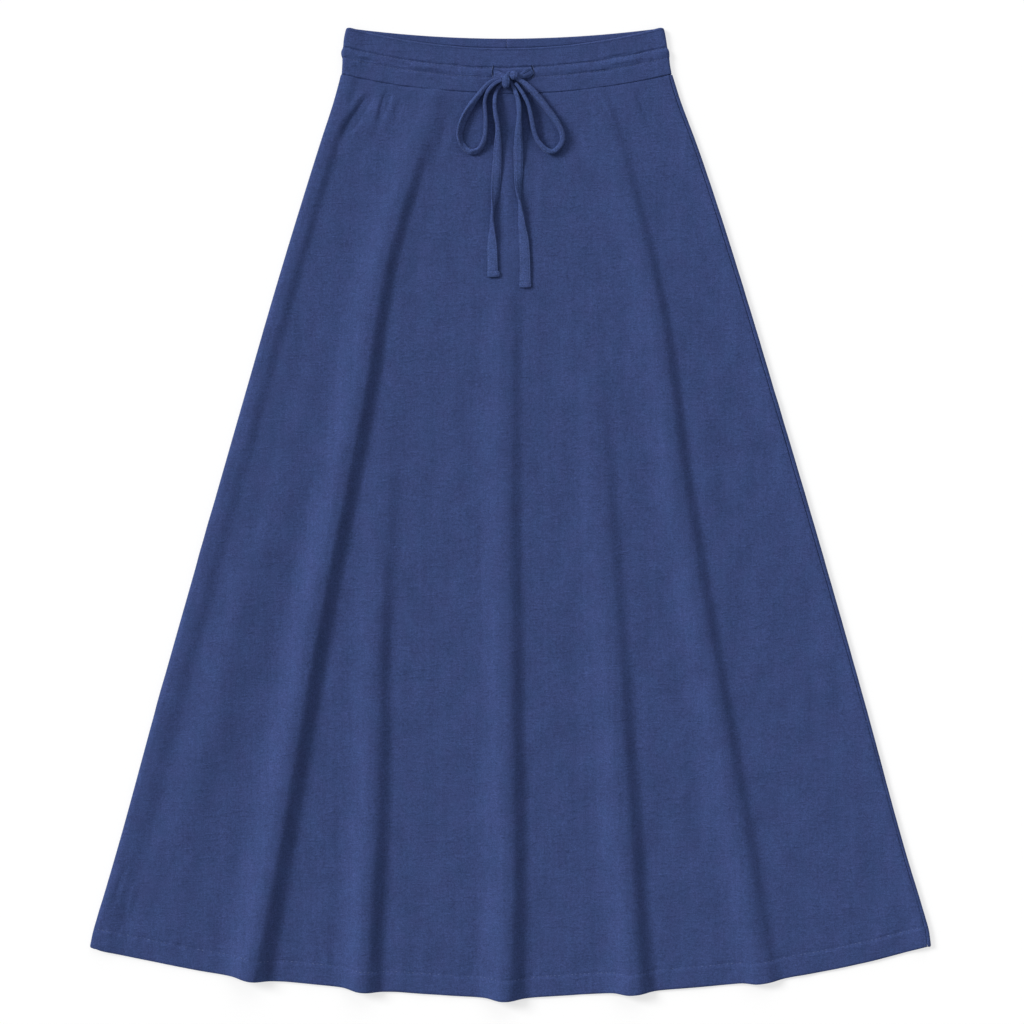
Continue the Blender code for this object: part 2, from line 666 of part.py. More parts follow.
def knot_solid(name):
    """The outer skin of the two lobes together, seen from the point between them."""
    low = float(max(top_surface(lobe.x, lobe.drop) for lobe in KNOT_LOBES)) + GAP
    middles = np.array([
        (lobe.x, LENGTH / 2 - lobe.drop, low + lobe.lift) for lobe in KNOT_LOBES
    ])
    halves = np.array([(lobe.half_x, lobe.half_y, lobe.half_z) for lobe in KNOT_LOBES])
    centre = middles.mean(axis=0)
    bm = bmesh.new()
    bmesh.ops.create_uvsphere(bm, u_segments=KNOT_SEGMENTS, v_segments=KNOT_RINGS, radius=1)
    for vert in bm.verts:
        way = np.array(vert.co)
        reach = 0.0
        for middle, half in zip(middles, halves):
            start = (centre - middle) / half
            step = way / half
            a = step @ step
            b = start @ step
            c = start @ start - 1
            inside = b * b - a * c
            if inside > 0:
                reach = max(reach, (-b + math.sqrt(inside)) / a)
        vert.co = centre + way * reach
    bmesh.ops.recalc_face_normals(bm, faces=bm.faces)
    return mesh_object(name, bm)


def build():
    clear_scene()
    dress(wall_solid("back_panel", back_sections()), BLUE_INSIDE)
    dress(wall_solid("front_panel", front_sections()), BLUE)
    band = dress(wall_solid("waistband", band_sections()), BLUE)
    cut_slits(band)
    dress(tape_solid("drawstring_left_loop", LEFT_LOOP, TAPE_RINGS), BLUE)
    dress(tape_solid("drawstring_right_loop", RIGHT_LOOP, TAPE_RINGS), BLUE)
    dress(tape_solid("drawstring_left_tail", LEFT_TAIL, TAPE_RINGS), BLUE)
    dress(tape_solid("drawstring_right_tail", RIGHT_TAIL, TAPE_RINGS), BLUE)
    dress(tape_solid("drawstring_left_lead", LEFT_LEAD, LEAD_RINGS), BLUE)
    dress(tape_solid("drawstring_right_lead", RIGHT_LEAD, LEAD_RINGS), BLUE)
    dress(knot_solid("drawstring_knot"), BLUE)


build()
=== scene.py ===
"""The looks of a laid A-line maxi skirt: thin cloth shells, a tied drawstring and stitching.

Metres, +Z up, waist towards +Y. A drop is a distance down from the waist's corners, so a
point at drop d lies at y = LENGTH / 2 - d. The forms repeat the solids' own, more finely.
Only the rows given to table() are in millimetres.
"""

import math
from collections import namedtuple

import bpy
import numpy as np
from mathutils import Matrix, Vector


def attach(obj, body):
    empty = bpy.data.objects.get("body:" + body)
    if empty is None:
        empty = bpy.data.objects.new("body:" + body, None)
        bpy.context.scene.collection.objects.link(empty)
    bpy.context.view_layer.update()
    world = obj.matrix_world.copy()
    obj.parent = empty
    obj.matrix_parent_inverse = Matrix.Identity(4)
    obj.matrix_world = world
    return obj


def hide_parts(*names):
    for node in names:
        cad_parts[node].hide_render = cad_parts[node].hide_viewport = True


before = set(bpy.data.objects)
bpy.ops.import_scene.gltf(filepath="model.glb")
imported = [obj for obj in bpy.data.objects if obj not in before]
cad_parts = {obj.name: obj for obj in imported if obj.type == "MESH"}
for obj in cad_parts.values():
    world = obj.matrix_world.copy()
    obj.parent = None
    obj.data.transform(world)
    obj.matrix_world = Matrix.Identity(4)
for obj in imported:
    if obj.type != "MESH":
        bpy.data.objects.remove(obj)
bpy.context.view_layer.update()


def table(kind, rows):
    """Rows with named columns: sizes in millimetres, but a turn or tilt in degrees."""
    angle = [name in ("turn", "tilt") for name in kind._fields]
    return [kind(*(v if a else v / 1000 for v, a in zip(row, angle))) for row in rows]


LENGTH = 1.0
CLOTH = 0.0012
SHELL = 0.0009  # the real cloth's thickness, inside the solid's wall
GAP = 0.0003

BAND_DEPTH = 0.0478
BAND_CLOTH = 0.002
BAND_ROLL = 0.0018
FRONT_SAG = 0.0206
BACK_SAG = 0.0103
CHANNEL_TOP = 0.02
CHANNEL_BOTTOM = 0.0308
CHANNEL_RISE = 0.0006

HEM_DEPTH = 0.021
HEM_DIP = 0.0024
HEM_DIP_LEFT = 0.019
HEM_DIP_RIGHT = 0.04
HEM_LIFT = 0.0006  # the turned hem's second layer
HEM_STEP = 0.003  # width over which the second layer begins
HEM_STEP_EARLY = 0.001
HEM_GROOVE = 0.00055
HEM_GROOVE_WIDTH = 0.002
PUCKER_REACH = 0.007
PULL_REACH = 0.03
BACK_HEM_INSET = 0.0015
FLOOR_GAP = 0.00002
BACK_FLOOR_GAP = 0.00001
SIDE_LIFT_WIDTH = 0.026
WAIST_LIFT_LENGTH = 0.06
ROLL_TUCK = 0.001

# Camera and light. The photo's frame is 1024 pixels wide and the skirt 972 pixels long.
PIXELS = 1024
PIXEL = LENGTH / 972.3
CAMERA_HEIGHT = 3.0
CAMERA_X = 0.0013
CAMERA_Y = 0.0022
FOCUS_HEIGHT = 0.005
SENSOR = 36.0
FILL_STRENGTH = 0.46
Lamp = namedtuple("Lamp", "name towards strength spread")
LAMPS = [
    Lamp("key", (-0.8, 0.4, 0.56), 3.06, 21),
    Lamp("top", (0.1, 0.9, 0.38), 0.9, 50),
]
FLOOR_SIZE = 60.0
FLOOR_HEIGHT = -0.0002
FLOOR_TONE = (0.34, 0.34, 0.34, 1.0)
FLOOR_GLOW = 0.637

BLUE = (0.0352, 0.0552, 0.156, 1.0)
# The tape's tone is the skirt's blue made lighter: a painted highlight for the tapes that tilt
# towards the light.
TAPE_BLUE_PAINTED_HIGHLIGHT = (0.0398, 0.0634, 0.174, 1.0)
THREAD_BLUE = (0.066, 0.096, 0.222)
RIM_BLUE = (0.09, 0.122, 0.255)
NAP_BLUE = (0.4, 0.55, 1.0, 1.0)

Edge = namedtuple("Edge", "drop left right left_roll right_roll seam_inset")
SKIRT_EDGES = table(Edge, [
    (49.4, -175.1, 166.9, 2.1, 1.9, 3.6),
    (74, -181.8, 174.6, 2.2, 1.9, 4),
    (115.2, -195.1, 190, 2.3, 2, 4),
    (197.5, -220.8, 217.8, 2.4, 2.2, 4.6),
    (279.7, -245.5, 243.5, 2.5, 2.2, 4.4),
    (362, -269.2, 268.2, 2.5, 2.2, 4.4),
    (526.5, -316.2, 316.9, 2.6, 2.2, 4.4),
    (691.1, -362.8, 363.7, 2.6, 2, 3.6),
    (855.6, -408, 408.8, 2.4, 2, 3.4),
    (913, -425, 426.2, 1.9, 2.1, 3.8),
    (927.6, -429.4, 430.3, 1.7, 2.1, 4),
    (944.7, -432.7, 432.7, 1.6, 2.1, 4),
])

BandEdge = namedtuple("BandEdge", "depth left right")
BAND_EDGES = table(BandEdge, [
    (0, -169.4, 157.6),
    (12.3, -172, 160.2),
    (19, -172.8, 161.2),
    (25, -174.6, 163.1),
    (32, -173.4, 163.4),
    (47.8, -174.1, 165.7),
])

HemPoint = namedtuple("HemPoint", "x drop")
HEM = table(HemPoint, [
    (-432.2, 947.4),
    (-373.1, 959.6),
    (-315.5, 970.9),
    (-200.3, 984.3),
    (-99.5, 993.2),
    (-0.8, 997.9),
    (85.6, 993.8),
    (188.5, 987.4),
    (303.7, 974.1),
    (361.2, 962.6),
    (432.2, 944.1),
])

Fold = namedtuple("Fold", "rise fall stations")
Station = namedtuple("Station", "drop crest height")
FOLDS = [
    Fold(0.05, 0.023, table(Station, [
        (48, -74, 0),
        (126, -99, 4.2),
        (228, -130.6, 7),
        (383, -157.8, 9.2),
        (588, -199.2, 10.3),
        (794, -236.4, 11.4),
        (959, -267, 12.8),
    ])),
    Fold(0.042, 0.022, table(Station, [
        (48, -55, 0),
        (250, -98, 0),
        (400, -121.5, 0.5),
        (588, -139.6, 4.8),
        (794, -144.4, 8.6),
        (959, -153.8, 11),
    ])),
    Fold(0.045, 0.023, table(Station, [
        (48, -4, 0),
        (200, -5.5, 0),
        (280, -5.9, 2.5),
        (486, -7.6, 5.7),
        (691, -6.8, 8.1),
        (897, -5.8, 10.5),
        (959, -7.7, 11.9),
    ])),
    Fold(0.045, 0.023, table(Station, [
        (48, 42, 0),
        (300, 76, 0),
        (383, 84.6, 2),
        (588, 99.3, 5.2),
        (794, 112.6, 8.6),
        (959, 122.9, 10.5),
    ])),
    Fold(0.045, 0.021, table(Station, [
        (48, 81, 0),
        (126, 106.2, 3),
        (280, 144.3, 6),
        (486, 173.7, 7.4),
        (691, 208.5, 7.4),
        (897, 244.5, 6.2),
        (959, 254.8, 6.7),
    ])),
]

# Small creases: a soft trough (depth below 0) or ridge from one end to the other.
Crease = namedtuple("Crease", "x drop end_x end_drop width depth")
CREASES = table(Crease, [
    (-142, 66, -174, 114, 9.2, -3.3),
    (-151, 66, -179, 104, 8.5, 1.6),
    (-124, 62, -137, 98, 6.8, -2.4),
    (-132, 70, -149, 112, 8.5, 1),
    (-112, 72, -122, 98, 6, -1),
    (128, 60, 146, 100, 8, -1),
    (121, 60, 136, 94, 7.5, 0.7),
    (100, 68, 118, 104, 7, -0.6),
    (94, 70, 108, 100, 7, 0.4),
    (-57, 74, -84, 160, 9, -0.8),
    (-70, 82, -92, 150, 9, 0.6),
    (60, 80, 80, 160, 9, -0.8),
    (-2, 85, -4, 230, 11, 0.8),
    (22, 100, 26, 210, 9, -0.6),
    (-9, 69.7, 12.5, 69.4, 1.5, -0.7),
    (182, 330, 232, 640, 17, 1),
    (184, 720, 196, 870, 15, -1.2),
    (66, 640, 70, 860, 13, -0.7),
    (-205, 300, -300, 610, 20, -1),
    (-262, 520, -345, 860, 22, 1),
    (-205, 280, -372, 985, 48, 3.4),
    (-70, 560, -82, 900, 14, -0.7),
    (284, 560, 345, 850, 20, -0.9),
    (-395, 862, -409, 900, 5, -1),
    (-386, 880, -394, 912, 4.5, 0.7),
    (-278, 922, -274, 940, 4, 0.9),
    (-290, 928, -287, 944, 4, -0.7),
    (-196, 940, -186, 968, 4, 0.9),
    (-187, 938, -180, 962, 4, -0.7),
    (120, 900, 126, 962, 6, 0.6),
    (300, 905, 318, 952, 7, -0.6),
])
BAND_CREASES = table(Crease, [
    (-18.2, 42.5, -4.4, 47.9, 1.8, -1.6),
    (-160, 30, -138, 35, 3, -0.9),
    (-128, 33, -98, 42, 3, -0.7),
    (-118, 41, -74, 47, 3, -0.8),
    (-104, 37.5, -70, 43, 2.6, 0.6),
    (90, 33, 128, 25, 2.8, -0.9),
    (96, 38, 138, 30, 2.8, 0.6),
    (70, 47, 112, 43, 3, -0.6),
    (-60, 18, -20, 24, 6, -0.4),
    (30, 24, 70, 16, 6, -0.4),
])

# How the soft cloth differs from the solid's wall.
CREST_SHARPNESS = 3  # power of the bell on a fold's lit side
FALL_SPARE = 0.09  # share of a fold's steep side that stays level at each end
FALL_SPREAD = 0.36  # a fold's steep side widens by this share for each metre down
FALL_SPREAD_FROM = 0.15  # the drop at which it has its stated width
SOFT_ROLL = 0.0068  # width over which the left edge rounds up to its roll
SOFT_ROLL_SHARE = 0.45  # how far that rounding is an ellipse's, and else a sine's
ROLL_LEVEL = 0.009
ROLL_FALL = 0.012  # width over which the roll comes down to the panel, at the waist
ROLL_FALL_SPREAD = 0.019
CORNER_RADIUS = 0.004
CORNER_REACH = 0.014
PANEL_HEM_ROUND = 0.0008
PANEL_SIDE_ROUND = 0.0007
BAND_TOP_ROUND = 0.001
BAND_SEAM_ROUND = 0.0009
SEAM_RAISE = 0.001  # the band's front seam lies a little higher than the solid's
SEAM_RAISE_LEFT = 0.0009
SEAM_RAISE_LEFT_X = -0.055
SEAM_RAISE_LEFT_REACH = 0.07
SEAM_REACH = 0.03
SEAM_TUCK = 0.0014
SEAM_TUCK_REACH = 0.006
SEAM_GROOVE = 0.0008
SEAM_GROOVE_WIDTH = 0.0028
SEAM_FADE = 0.6  # how much shallower the right seam's groove is near the hem
SEAM_FADE_START = 0.45  # the drop at which that begins
SEAM_FADE_LENGTH = 0.35

# Seeded unevenness: its height, how its waves are squeezed in x and y, and their length.
Ripple = namedtuple("Ripple", "height squeeze_x squeeze_y seed wavelength count")
CLOTH_RIPPLES = [
    Ripple(0.0005, 1.6, 0.6, 11, 0.075, 14),
    Ripple(0.00022, 1.3, 1.0, 13, 0.034, 20),
    Ripple(0.0001, 1.3, 1.0, 12, 0.018, 20),
]
HEM_PUCKER = Ripple(0.00058, 1.0, 0.0, 21, 0.0085, 8)
HEM_PULL = Ripple(0.00028, 1.0, 0.3, 22, 0.016, 8)
WAIST_PUCKER = Ripple(0.00022, 1.0, 0.2, 31, 0.017, 8)
WAIST_PUCKER_REACH = 0.012
TOP_CALM = 0.25  # share of the relief that is left at the seam under the band
TOP_CALM_REACH = 0.01
BACK_RIPPLE = Ripple(0.00012, 1.0, 1.0, 41, 0.02, 14)
CHANNEL_PUCKER = Ripple(0.00036, 1.0, 0.4, 53, 0.0085, 10)
CHANNEL_PUCKER_REACH = 0.006
BAND_RIPPLE = Ripple(0.0002, 1.0, 1.0, 54, 0.02, 14)
LOBE_RIPPLE = Ripple(0.03, 0.01, 0.01, 61, 0.008, 14)

# The channel's two stitch lines, each pressed into a groove that wanders and varies.
ChannelLine = namedtuple("ChannelLine", "depth groove width wander variation")
CHANNEL_LINES = [
    ChannelLine(
        CHANNEL_TOP, 0.00095, 0.0021,
        Ripple(0.0006, 1.0, 0.0, 51, 0.04, 6), Ripple(0.35, 1.0, 0.0, 55, 0.06, 6),
    ),
    ChannelLine(
        CHANNEL_BOTTOM, 0.00036, 0.0022,
        Ripple(0.0006, 1.0, 0.0, 52, 0.04, 6), Ripple(0.7, 1.0, 0.0, 56, 0.03, 6),
    ),
]

FRONT_COLUMNS = (76, 40, 50, 46, 46, 60)  # from the left roll, between crests, to the seam
EDGE_CROWDING = 1.4  # above 1, columns lie closer together near the sides
FRONT_BODY_ROWS = 150
FINE_TOP_ROWS = 24
FINE_HEM_ROWS = 24
FINE_TOP_STEP = 0.0009
FINE_HEM_STEP = 0.0014
ROW_STEP = 5  # the inner side has one row to this many of the outer side's
ARC_STEPS = 13
BACK_COLUMNS = 90
BAND_FRONT_COLUMNS = 260
BAND_BACK_COLUMNS = 60
BAND_ROWS = 84
BAND_CROWDING = 1.2  # above 1, rows lie closer together near the band's top

# A tape's stops. One that is neither turned nor lifted off the cloth below leaves that out.
Tape = namedtuple("Tape", "x drop width thick turn lift", defaults=(0.0, 0.0))
LEFT_LOOP = table(Tape, [
    (-8.5, 52.8, 3.6, 3.2, 0, 0.6),
    (-14.1, 53.5, 4, 3.6, 4, 0.6),
    (-20.3, 55.8, 4.6, 4.6, 8, 0.6),
    (-24.9, 59.7, 4.6, 5.4, 12, 0.5),
    (-30.8, 66.6, 5, 6.2, 22, 0.4),
    (-37.3, 74.9, 5.8, 5.6, 32, 0.2),
    (-42.9, 83.8, 8, 4.4, 42),
    (-47.6, 92.5, 9.8, 3.4, 47),
    (-50.7, 100.5, 9.8, 3.2, 48),
    (-52.5, 110, 9, 3.2, 48),
    (-50.8, 118.6, 7.2, 3.6, 42),
    (-46, 124.4, 5.8, 4),
    (-40, 127.5, 6, 3.8, -36),
    (-33.5, 125.6, 5.6, 4.2, -36),
    (-29, 119.1, 5, 5.6, -24),
    (-26.6, 111, 4.4, 7.2, -10),
    (-25.8, 100, 4.1, 8.4, -6),
    (-26.2, 87, 3.8, 8.4, -6),
    (-26.8, 76.5, 3.6, 7.8, -4, 0.3),
    (-25, 68.8, 3.6, 6.2, 0, 1.4),
    (-20.1, 61.1, 3.8, 4.4, 0, 3.4),
    (-14.1, 56.6, 3.6, 3.2, 0, 4.4),
    (-9.5, 54.8, 3.2, 3, 0, 4.6),
])
RIGHT_LOOP = table(Tape, [
    (5, 52.2, 3.6, 3.2, 0, 2),
    (11.8, 55.7, 4.8, 4.4, 8, 1.4),
    (18.8, 61.4, 5.8, 5.6, 14, 1),
    (25.4, 68.5, 6.4, 6.4, 16, 0.6),
    (32.4, 77, 6.6, 6.8, 16, 0.2),
    (38.9, 85.6, 6.5, 6.8, 16),
    (45.5, 94.4, 6, 6.6, 14),
    (50.1, 102.1, 5.6, 6.6, 12),
    (52.9, 109.7, 5.4, 6.6, 8),
    (53.1, 115.7, 5.3, 6.4),
    (50.4, 121.6, 5.3, 6.2),
    (45.5, 126.2, 5.2, 6),
    (41.5, 127.2, 5.2, 6),
    (35.9, 124.9, 5.1, 6.2),
    (31.3, 120.7, 4.8, 6.4, -4),
    (27.1, 115.1, 4.5, 6.6, -6),
    (24.2, 107.4, 4.2, 7, -6),
    (21.9, 97.4, 4.1, 8, -6),
    (20, 87.3, 4, 8.2, -6),
    (17.9, 79.1, 3.9, 7.8, 0, 0.2),
    (14.1, 70.9, 3.8, 6.2, 0, 1),
    (9.4, 63.2, 3.5, 4, 0, 1.8),
    (4.5, 56.8, 3.2, 3, 0, 2.4),
])
LEFT_TAIL = table(Tape, [
    (-8, 57, 3.4, 2.8, 0, 0.4),
    (-12.5, 61.3, 3.8, 3, 0, 0.2),
    (-15.3, 66.9, 3.8, 4.2),
    (-16.4, 74.1, 4, 7.6),
    (-16.4, 82.3, 4.4, 8.4),
    (-15.4, 90.5, 4.5, 8.7, 3),
    (-13.9, 98.2, 4.5, 8.5, 3),
    (-13.1, 106.5, 5.2, 7.6, 3),
    (-13.2, 115.2, 6.9, 6.4, 3),
    (-13.5, 125, 8.3, 5),
    (-14.1, 140, 9.3, 3.6),
    (-15, 153, 9.9, 2.8, 8),
    (-15.7, 164, 9.8, 2.2, 22),
    (-16.8, 177, 8.8, 2.4, 42),
    (-18.4, 186.5, 6, 3, 68),
    (-19.3, 195, 5.2, 3.4, 95),
    (-19.1, 205, 6.6, 3, 135),
    (-19.2, 216, 8.8, 2.2, 160),
    (-19.2, 229, 10.5, 1.9, 170),
    (-18.9, 244, 11.3, 1.8, 172),
    (-18.6, 256, 11.4, 1.8, 176),
])
RIGHT_TAIL = table(Tape, [
    (-0.2, 54.5, 3.6, 2.8, 0, 0.4),
    (1.8, 58.6, 4.2, 3, 0, 0.2),
    (4.4, 64.8, 4.4, 4.2),
    (6.8, 72, 4.7, 7),
    (8.4, 80.2, 5.2, 8.2),
    (8.7, 88.5, 4.9, 8.7),
    (8.3, 96.7, 5.4, 8.4, 3),
    (8.1, 105.9, 7.2, 7.3, 4),
    (7.9, 115.2, 8.5, 5.6, 5),
    (7.9, 125, 9.6, 4, 5),
    (7.9, 140, 9.7, 2.2, 7),
    (7.8, 152, 9.2, 2.2, 16),
    (7.7, 164, 8.2, 2.4, 38),
    (8.3, 172, 6.4, 2.8, 55),
    (9.1, 178, 5.6, 3.2, 80),
    (10.1, 186.5, 6.2, 3, 125),
    (11.6, 202.6, 8, 2.2, 158),
    (13.2, 215.5, 10, 2, 168),
    (14.1, 230, 10.7, 1.8, 172),
    (14.8, 250, 11.2, 1.8, 174),
    (14.8, 266.8, 12.2, 1.8, 177),
])
LEFT_LEAD = table(Tape, [
    (-17.4, 47.4, 8.8, 1.6, -6),
    (-15, 48.1, 8.3, 1.8, -8, 0.3),
    (-12, 49, 7.6, 2.2, -9, 1),
    (-9, 49.7, 6.2, 2.6, -8, 1.8),
    (-5.2, 50.5, 4.4, 3, 0, 2.6),
])
RIGHT_LEAD = table(Tape, [
    (22.4, 43.7, 5.6, 1.4),
    (20.5, 44.9, 7.8, 1.7, 12, 0.1),
    (18, 46.6, 8.6, 1.9, 18, 0.4),
    (15, 48.2, 8, 2.2, 18, 0.9),
    (11.5, 49.5, 6.1, 2.6, 8, 1.6),
    (6, 51, 4, 3, 0, 2.4),
])
TAPE_SIDES = 40
TAPE_RING_STEP = 0.0006
TAPE_ROUND = 0.75  # power of the section's upper side where the tape lies flat
TAPE_SQUARE = 0.3  # how much lower that power is where the tape stands on its edge
TAPE_SIDE_ROUND = 0.62  # power of the section's left and right sides
TAPE_EDGE_GROOVE = 0.0004
TAPE_EDGE_GROOVE_WIDTH = 0.0007
TAPE_EDGE_INSET = 0.0012
TAPE_HEM_GROOVE = 0.00045
TAPE_HEM_GROOVE_WIDTH = 0.0011
TAPE_HEM_STEP = 0.0012  # length over which a hemmed end thickens
TAPE_HEM_THICKER = 0.0007
TAPE_HEM_WIDER = 0.0006
TAPE_HEM_SIDES = slice(23, 37)  # the ring's points that face up where a tail ends, turned over
TAPE_FLAT_WIDTH = 0.0055  # a tape wider than this lies flat and shows its grooves
TAPE_FLAT_SPAN = 0.002
TAPE_PRESSED_SHARE = 0.42  # a groove's greatest share of the tape's thickness
TAPE_END_RINGS = ((0, 0.75), (1, 0.93), (-3, 0.97), (-2, 0.92), (-1, 0.8))

# A tape's hem is the length of its doubled end, and its flare widens that end to one side.
# A trough runs along it where it lies flat: shares of its width, + to the right of its run.
TapeLook = namedtuple("TapeLook", "name stops seed hem flare trough_at trough_wide trough_deep")
TAPES = [
    TapeLook("left_loop", LEFT_LOOP, 71, 0.0, 0.0, 0.02, 0.34, 0.001),
    TapeLook("right_loop", RIGHT_LOOP, 72, 0.0, 0.0, 0.05, 0.22, 0.0004),
    TapeLook("left_tail", LEFT_TAIL, 73, 0.0062, 0.0016, 0.24, 0.12, 0.0006),
    TapeLook("right_tail", RIGHT_TAIL, 74, 0.006, 0.0, -0.05, 0.16, 0.0003),
    TapeLook("left_lead", LEFT_LEAD, 75, 0.0, 0.0, 0.12, 0.12, 0.0006),
    TapeLook("right_lead", RIGHT_LEAD, 76, 0.0, 0.0, 0.18, 0.1, 0.0008),
]
# Rows of stitches on the tapes: which side of the ring, and from where to where along it.
TapeStitches = namedtuple("TapeStitches", "tape side start end")
TAPE_STITCHES = [
    TapeStitches("left_tail", 5, 0.075, 0.105),
    TapeStitches("left_tail", 25, 0.16, 0.197),
    TapeStitches("left_tail", 34, 0.16, 0.197),
    TapeStitches("right_tail", 5, 0.07, 0.1),
    TapeStitches("right_tail", 25, 0.15, 0.21),
    TapeStitches("right_tail", 34, 0.15, 0.21),
    TapeStitches("right_loop", 10, 0.022, 0.078),
    TapeStitches("left_loop", 3, 0.05, 0.098),
]

Lobe = namedtuple("Lobe", "x drop lift half_x half_y half_z tilt")
KNOT_LOBES = table(Lobe, [
    (-4.9, 55.8, 4.8, 4.4, 7, 4.5, -4),
    (-3, 49.2, 4.4, 2.4, 3.8, 3.8, -20),
    (3.3, 49.4, 5, 4.4, 4.7, 4.5, -14),
])

# Dents across a lobe, where the tape turns. All sizes are shares of the lobe's half.
Dent = namedtuple("Dent", "depth x width")
LOBE_DENTS = [Dent(0.06, 0.45, 0.16), Dent(0.05, -0.55, 0.14)]
LOBE_SQUARE = 0.38  # power of a lobe's height: below 1 its top is flatter
LOBE_SIDES = 40
LOBE_RINGS = 24

# The front's top edge has a raised rim, and the back is pressed in a groove along it.
RIM_RISE = 0.0004
RIM_DEPTH = 0.0013
PARTING_GROOVE = 0.0006
PARTING_WIDTH = 0.0012
BAND_CORNER = 0.0032
BACK_SEAM_SHIFT = 0.0019
BACK_SEAM_GROOVE = 0.0007
BACK_SEAM_GROOVE_WIDTH = 0.0011
BACK_SEAM_GAP = 0.00002

SLIT_HEIGHT = 0.0135
SLIT_WIDTH = 0.0011
SLIT_DROP = 0.045
Slit = namedtuple("Slit", "x bow rim_lift")
SLITS = [Slit(-0.0172, -0.0011, -0.0002), Slit(0.0216, 0.0012, 0.0001)]
SLIT_STEPS = 8
SLIT_CUT = 0.01
SLIT_TAPER = 0.6  # share of its width that a buttonhole loses at its ends
SLIT_RIM = 0.0009
SLIT_RIM_STEPS = 40
SLIT_RIM_LENGTH = 1.04  # the stitched rim's length, as a share of the buttonhole's

# Sizes of a stitch: its length, the gap to the next, its thread's radius, its unevenness.
Stitch = namedtuple("Stitch", "length gap thread tilt uneven")
HEM_STITCH = Stitch(0.0023, 0.0021, 0.00031, 24, 0.6)
CHANNEL_STITCH = Stitch(0.0021, 0.0011, 0.00022, 5, 0.25)
TAPE_STITCH = Stitch(0.0012, 0.0007, 0.00025, 12, 0.3)
RIM_STITCH = Stitch(0.0013, 0.0001, 0.0003, 10, 0.15)
STITCH_SIDES = 6
STITCH_AHEAD = 0.001  # how far along its line a stitch looks for its direction
HEM_COLUMN = 100  # the front's column on which the hem's row is found
HEM_ENDS = 2  # columns left without stitches at each end of the hem
CHANNEL_EARLY = 4  # columns of the band's rolls that its stitches take in, left and right
CHANNEL_LATE = 2
TAPE_STITCH_END = 0.001  # how far from a tape's end its stitches stop


def column(rows, name):
    return np.array([getattr(row, name) for row in rows], dtype=float)


def curve_at(stations, values, at):
    """A smooth curve through the values at rising stations, straight beyond both ends."""
    at = np.asarray(at, dtype=float)
    slopes = np.gradient(values, stations)
    held = np.clip(at, stations[0], stations[-1])
    k = np.clip(np.searchsorted(stations, held) - 1, 0, len(stations) - 2)
    span = stations[k + 1] - stations[k]
    t = (held - stations[k]) / span
    start = (1 + 2 * t) * (1 - t) ** 2 * values[k] + t * (1 - t) ** 2 * span * slopes[k]
    end = t * t * (3 - 2 * t) * values[k + 1] + t * t * (t - 1) * span * slopes[k + 1]
    beyond = np.minimum(at - stations[0], 0) * slopes[0]
    return start + end + beyond + np.maximum(at - stations[-1], 0) * slopes[-1]


def skirt_edge(name, drop):
    return curve_at(column(SKIRT_EDGES, "drop"), column(SKIRT_EDGES, name), drop)


def band_edge(name, depth):
    return curve_at(column(BAND_EDGES, "depth"), column(BAND_EDGES, name), depth)


def bell(t):
    """1 at the middle, falling smoothly to 0 at -1 and 1."""
    return np.cos(np.clip(t, -1, 1) * math.pi / 2) ** 2


def waves(x, y, seed, wavelength, count):
    """Smooth uneven relief between about -1 and 1, made of seeded plane waves."""
    random = np.random.default_rng(seed)
    total = np.zeros(np.broadcast(x, y).shape)
    for _ in range(count):
        turn = random.uniform(0, 2 * math.pi)
        size = 2 * math.pi / (wavelength * random.uniform(0.6, 1.7))
        phase = random.uniform(0, 2 * math.pi)
        total += np.sin(size * (x * math.cos(turn) + y * math.sin(turn)) + phase)
    return total / math.sqrt(count) / 1.6


def rippled(ripple, x, y):
    height, squeeze_x, squeeze_y, seed, wavelength, count = ripple
    return height * waves(x * squeeze_x, y * squeeze_y, seed, wavelength, count)


def crest_x(fold, drop):
    return curve_at(column(fold.stations, "drop"), column(fold.stations, "crest"), drop)


def eased(t):
    """0 below 0, 1 above 1, and smooth between."""
    t = np.clip(t, 0, 1)
    return t ** 3 * (6 * t * t - 15 * t + 10)


def fold_height(fold, x, drop):
    stations = column(fold.stations, "drop")
    high = np.maximum(curve_at(stations, column(fold.stations, "height"), drop), 0)
    across = x - crest_x(fold, drop)
    rise = bell(across / fold.rise) ** CREST_SHARPNESS
    fall_width = fold.fall * (1 + FALL_SPREAD * (drop - FALL_SPREAD_FROM))
    fall = 1 - eased((across / fall_width - FALL_SPARE) / (1 - 2 * FALL_SPARE))
    return high * np.where(across < 0, rise, fall)


def waist_sag(x, amount):
    inset = BAND_ROLL + BAND_CLOTH / 2
    left = band_edge("left", BAND_DEPTH) + inset
    right = band_edge("right", BAND_DEPTH) - inset
    across = (2 * x - left - right) / (right - left)
    return amount * np.maximum(1 - across ** 2, 0)


def front_top_drop(x):
    return BAND_DEPTH + GAP + waist_sag(x, FRONT_SAG)


def back_top_drop(x):
    return BAND_DEPTH + GAP + waist_sag(x, BACK_SAG)


def hem_line(x):
    return curve_at(column(HEM, "x"), column(HEM, "drop"), x)


def front_hem_drop(x):
    drop = hem_line(x)
    for fold in FOLDS:
        across = x - fold.stations[-1].crest
        width = np.where(across < 0, HEM_DIP_LEFT, HEM_DIP_RIGHT)
        drop = drop + HEM_DIP * bell(across / width)
    return drop


def back_hem_drop(x):
    return hem_line(x) - BACK_HEM_INSET


def front_left_x(drop):
    return skirt_edge("left", drop) + skirt_edge("left_roll", drop) + CLOTH / 2


def front_right_x(drop):
    return skirt_edge("right", drop) - skirt_edge("seam_inset", drop) - GAP


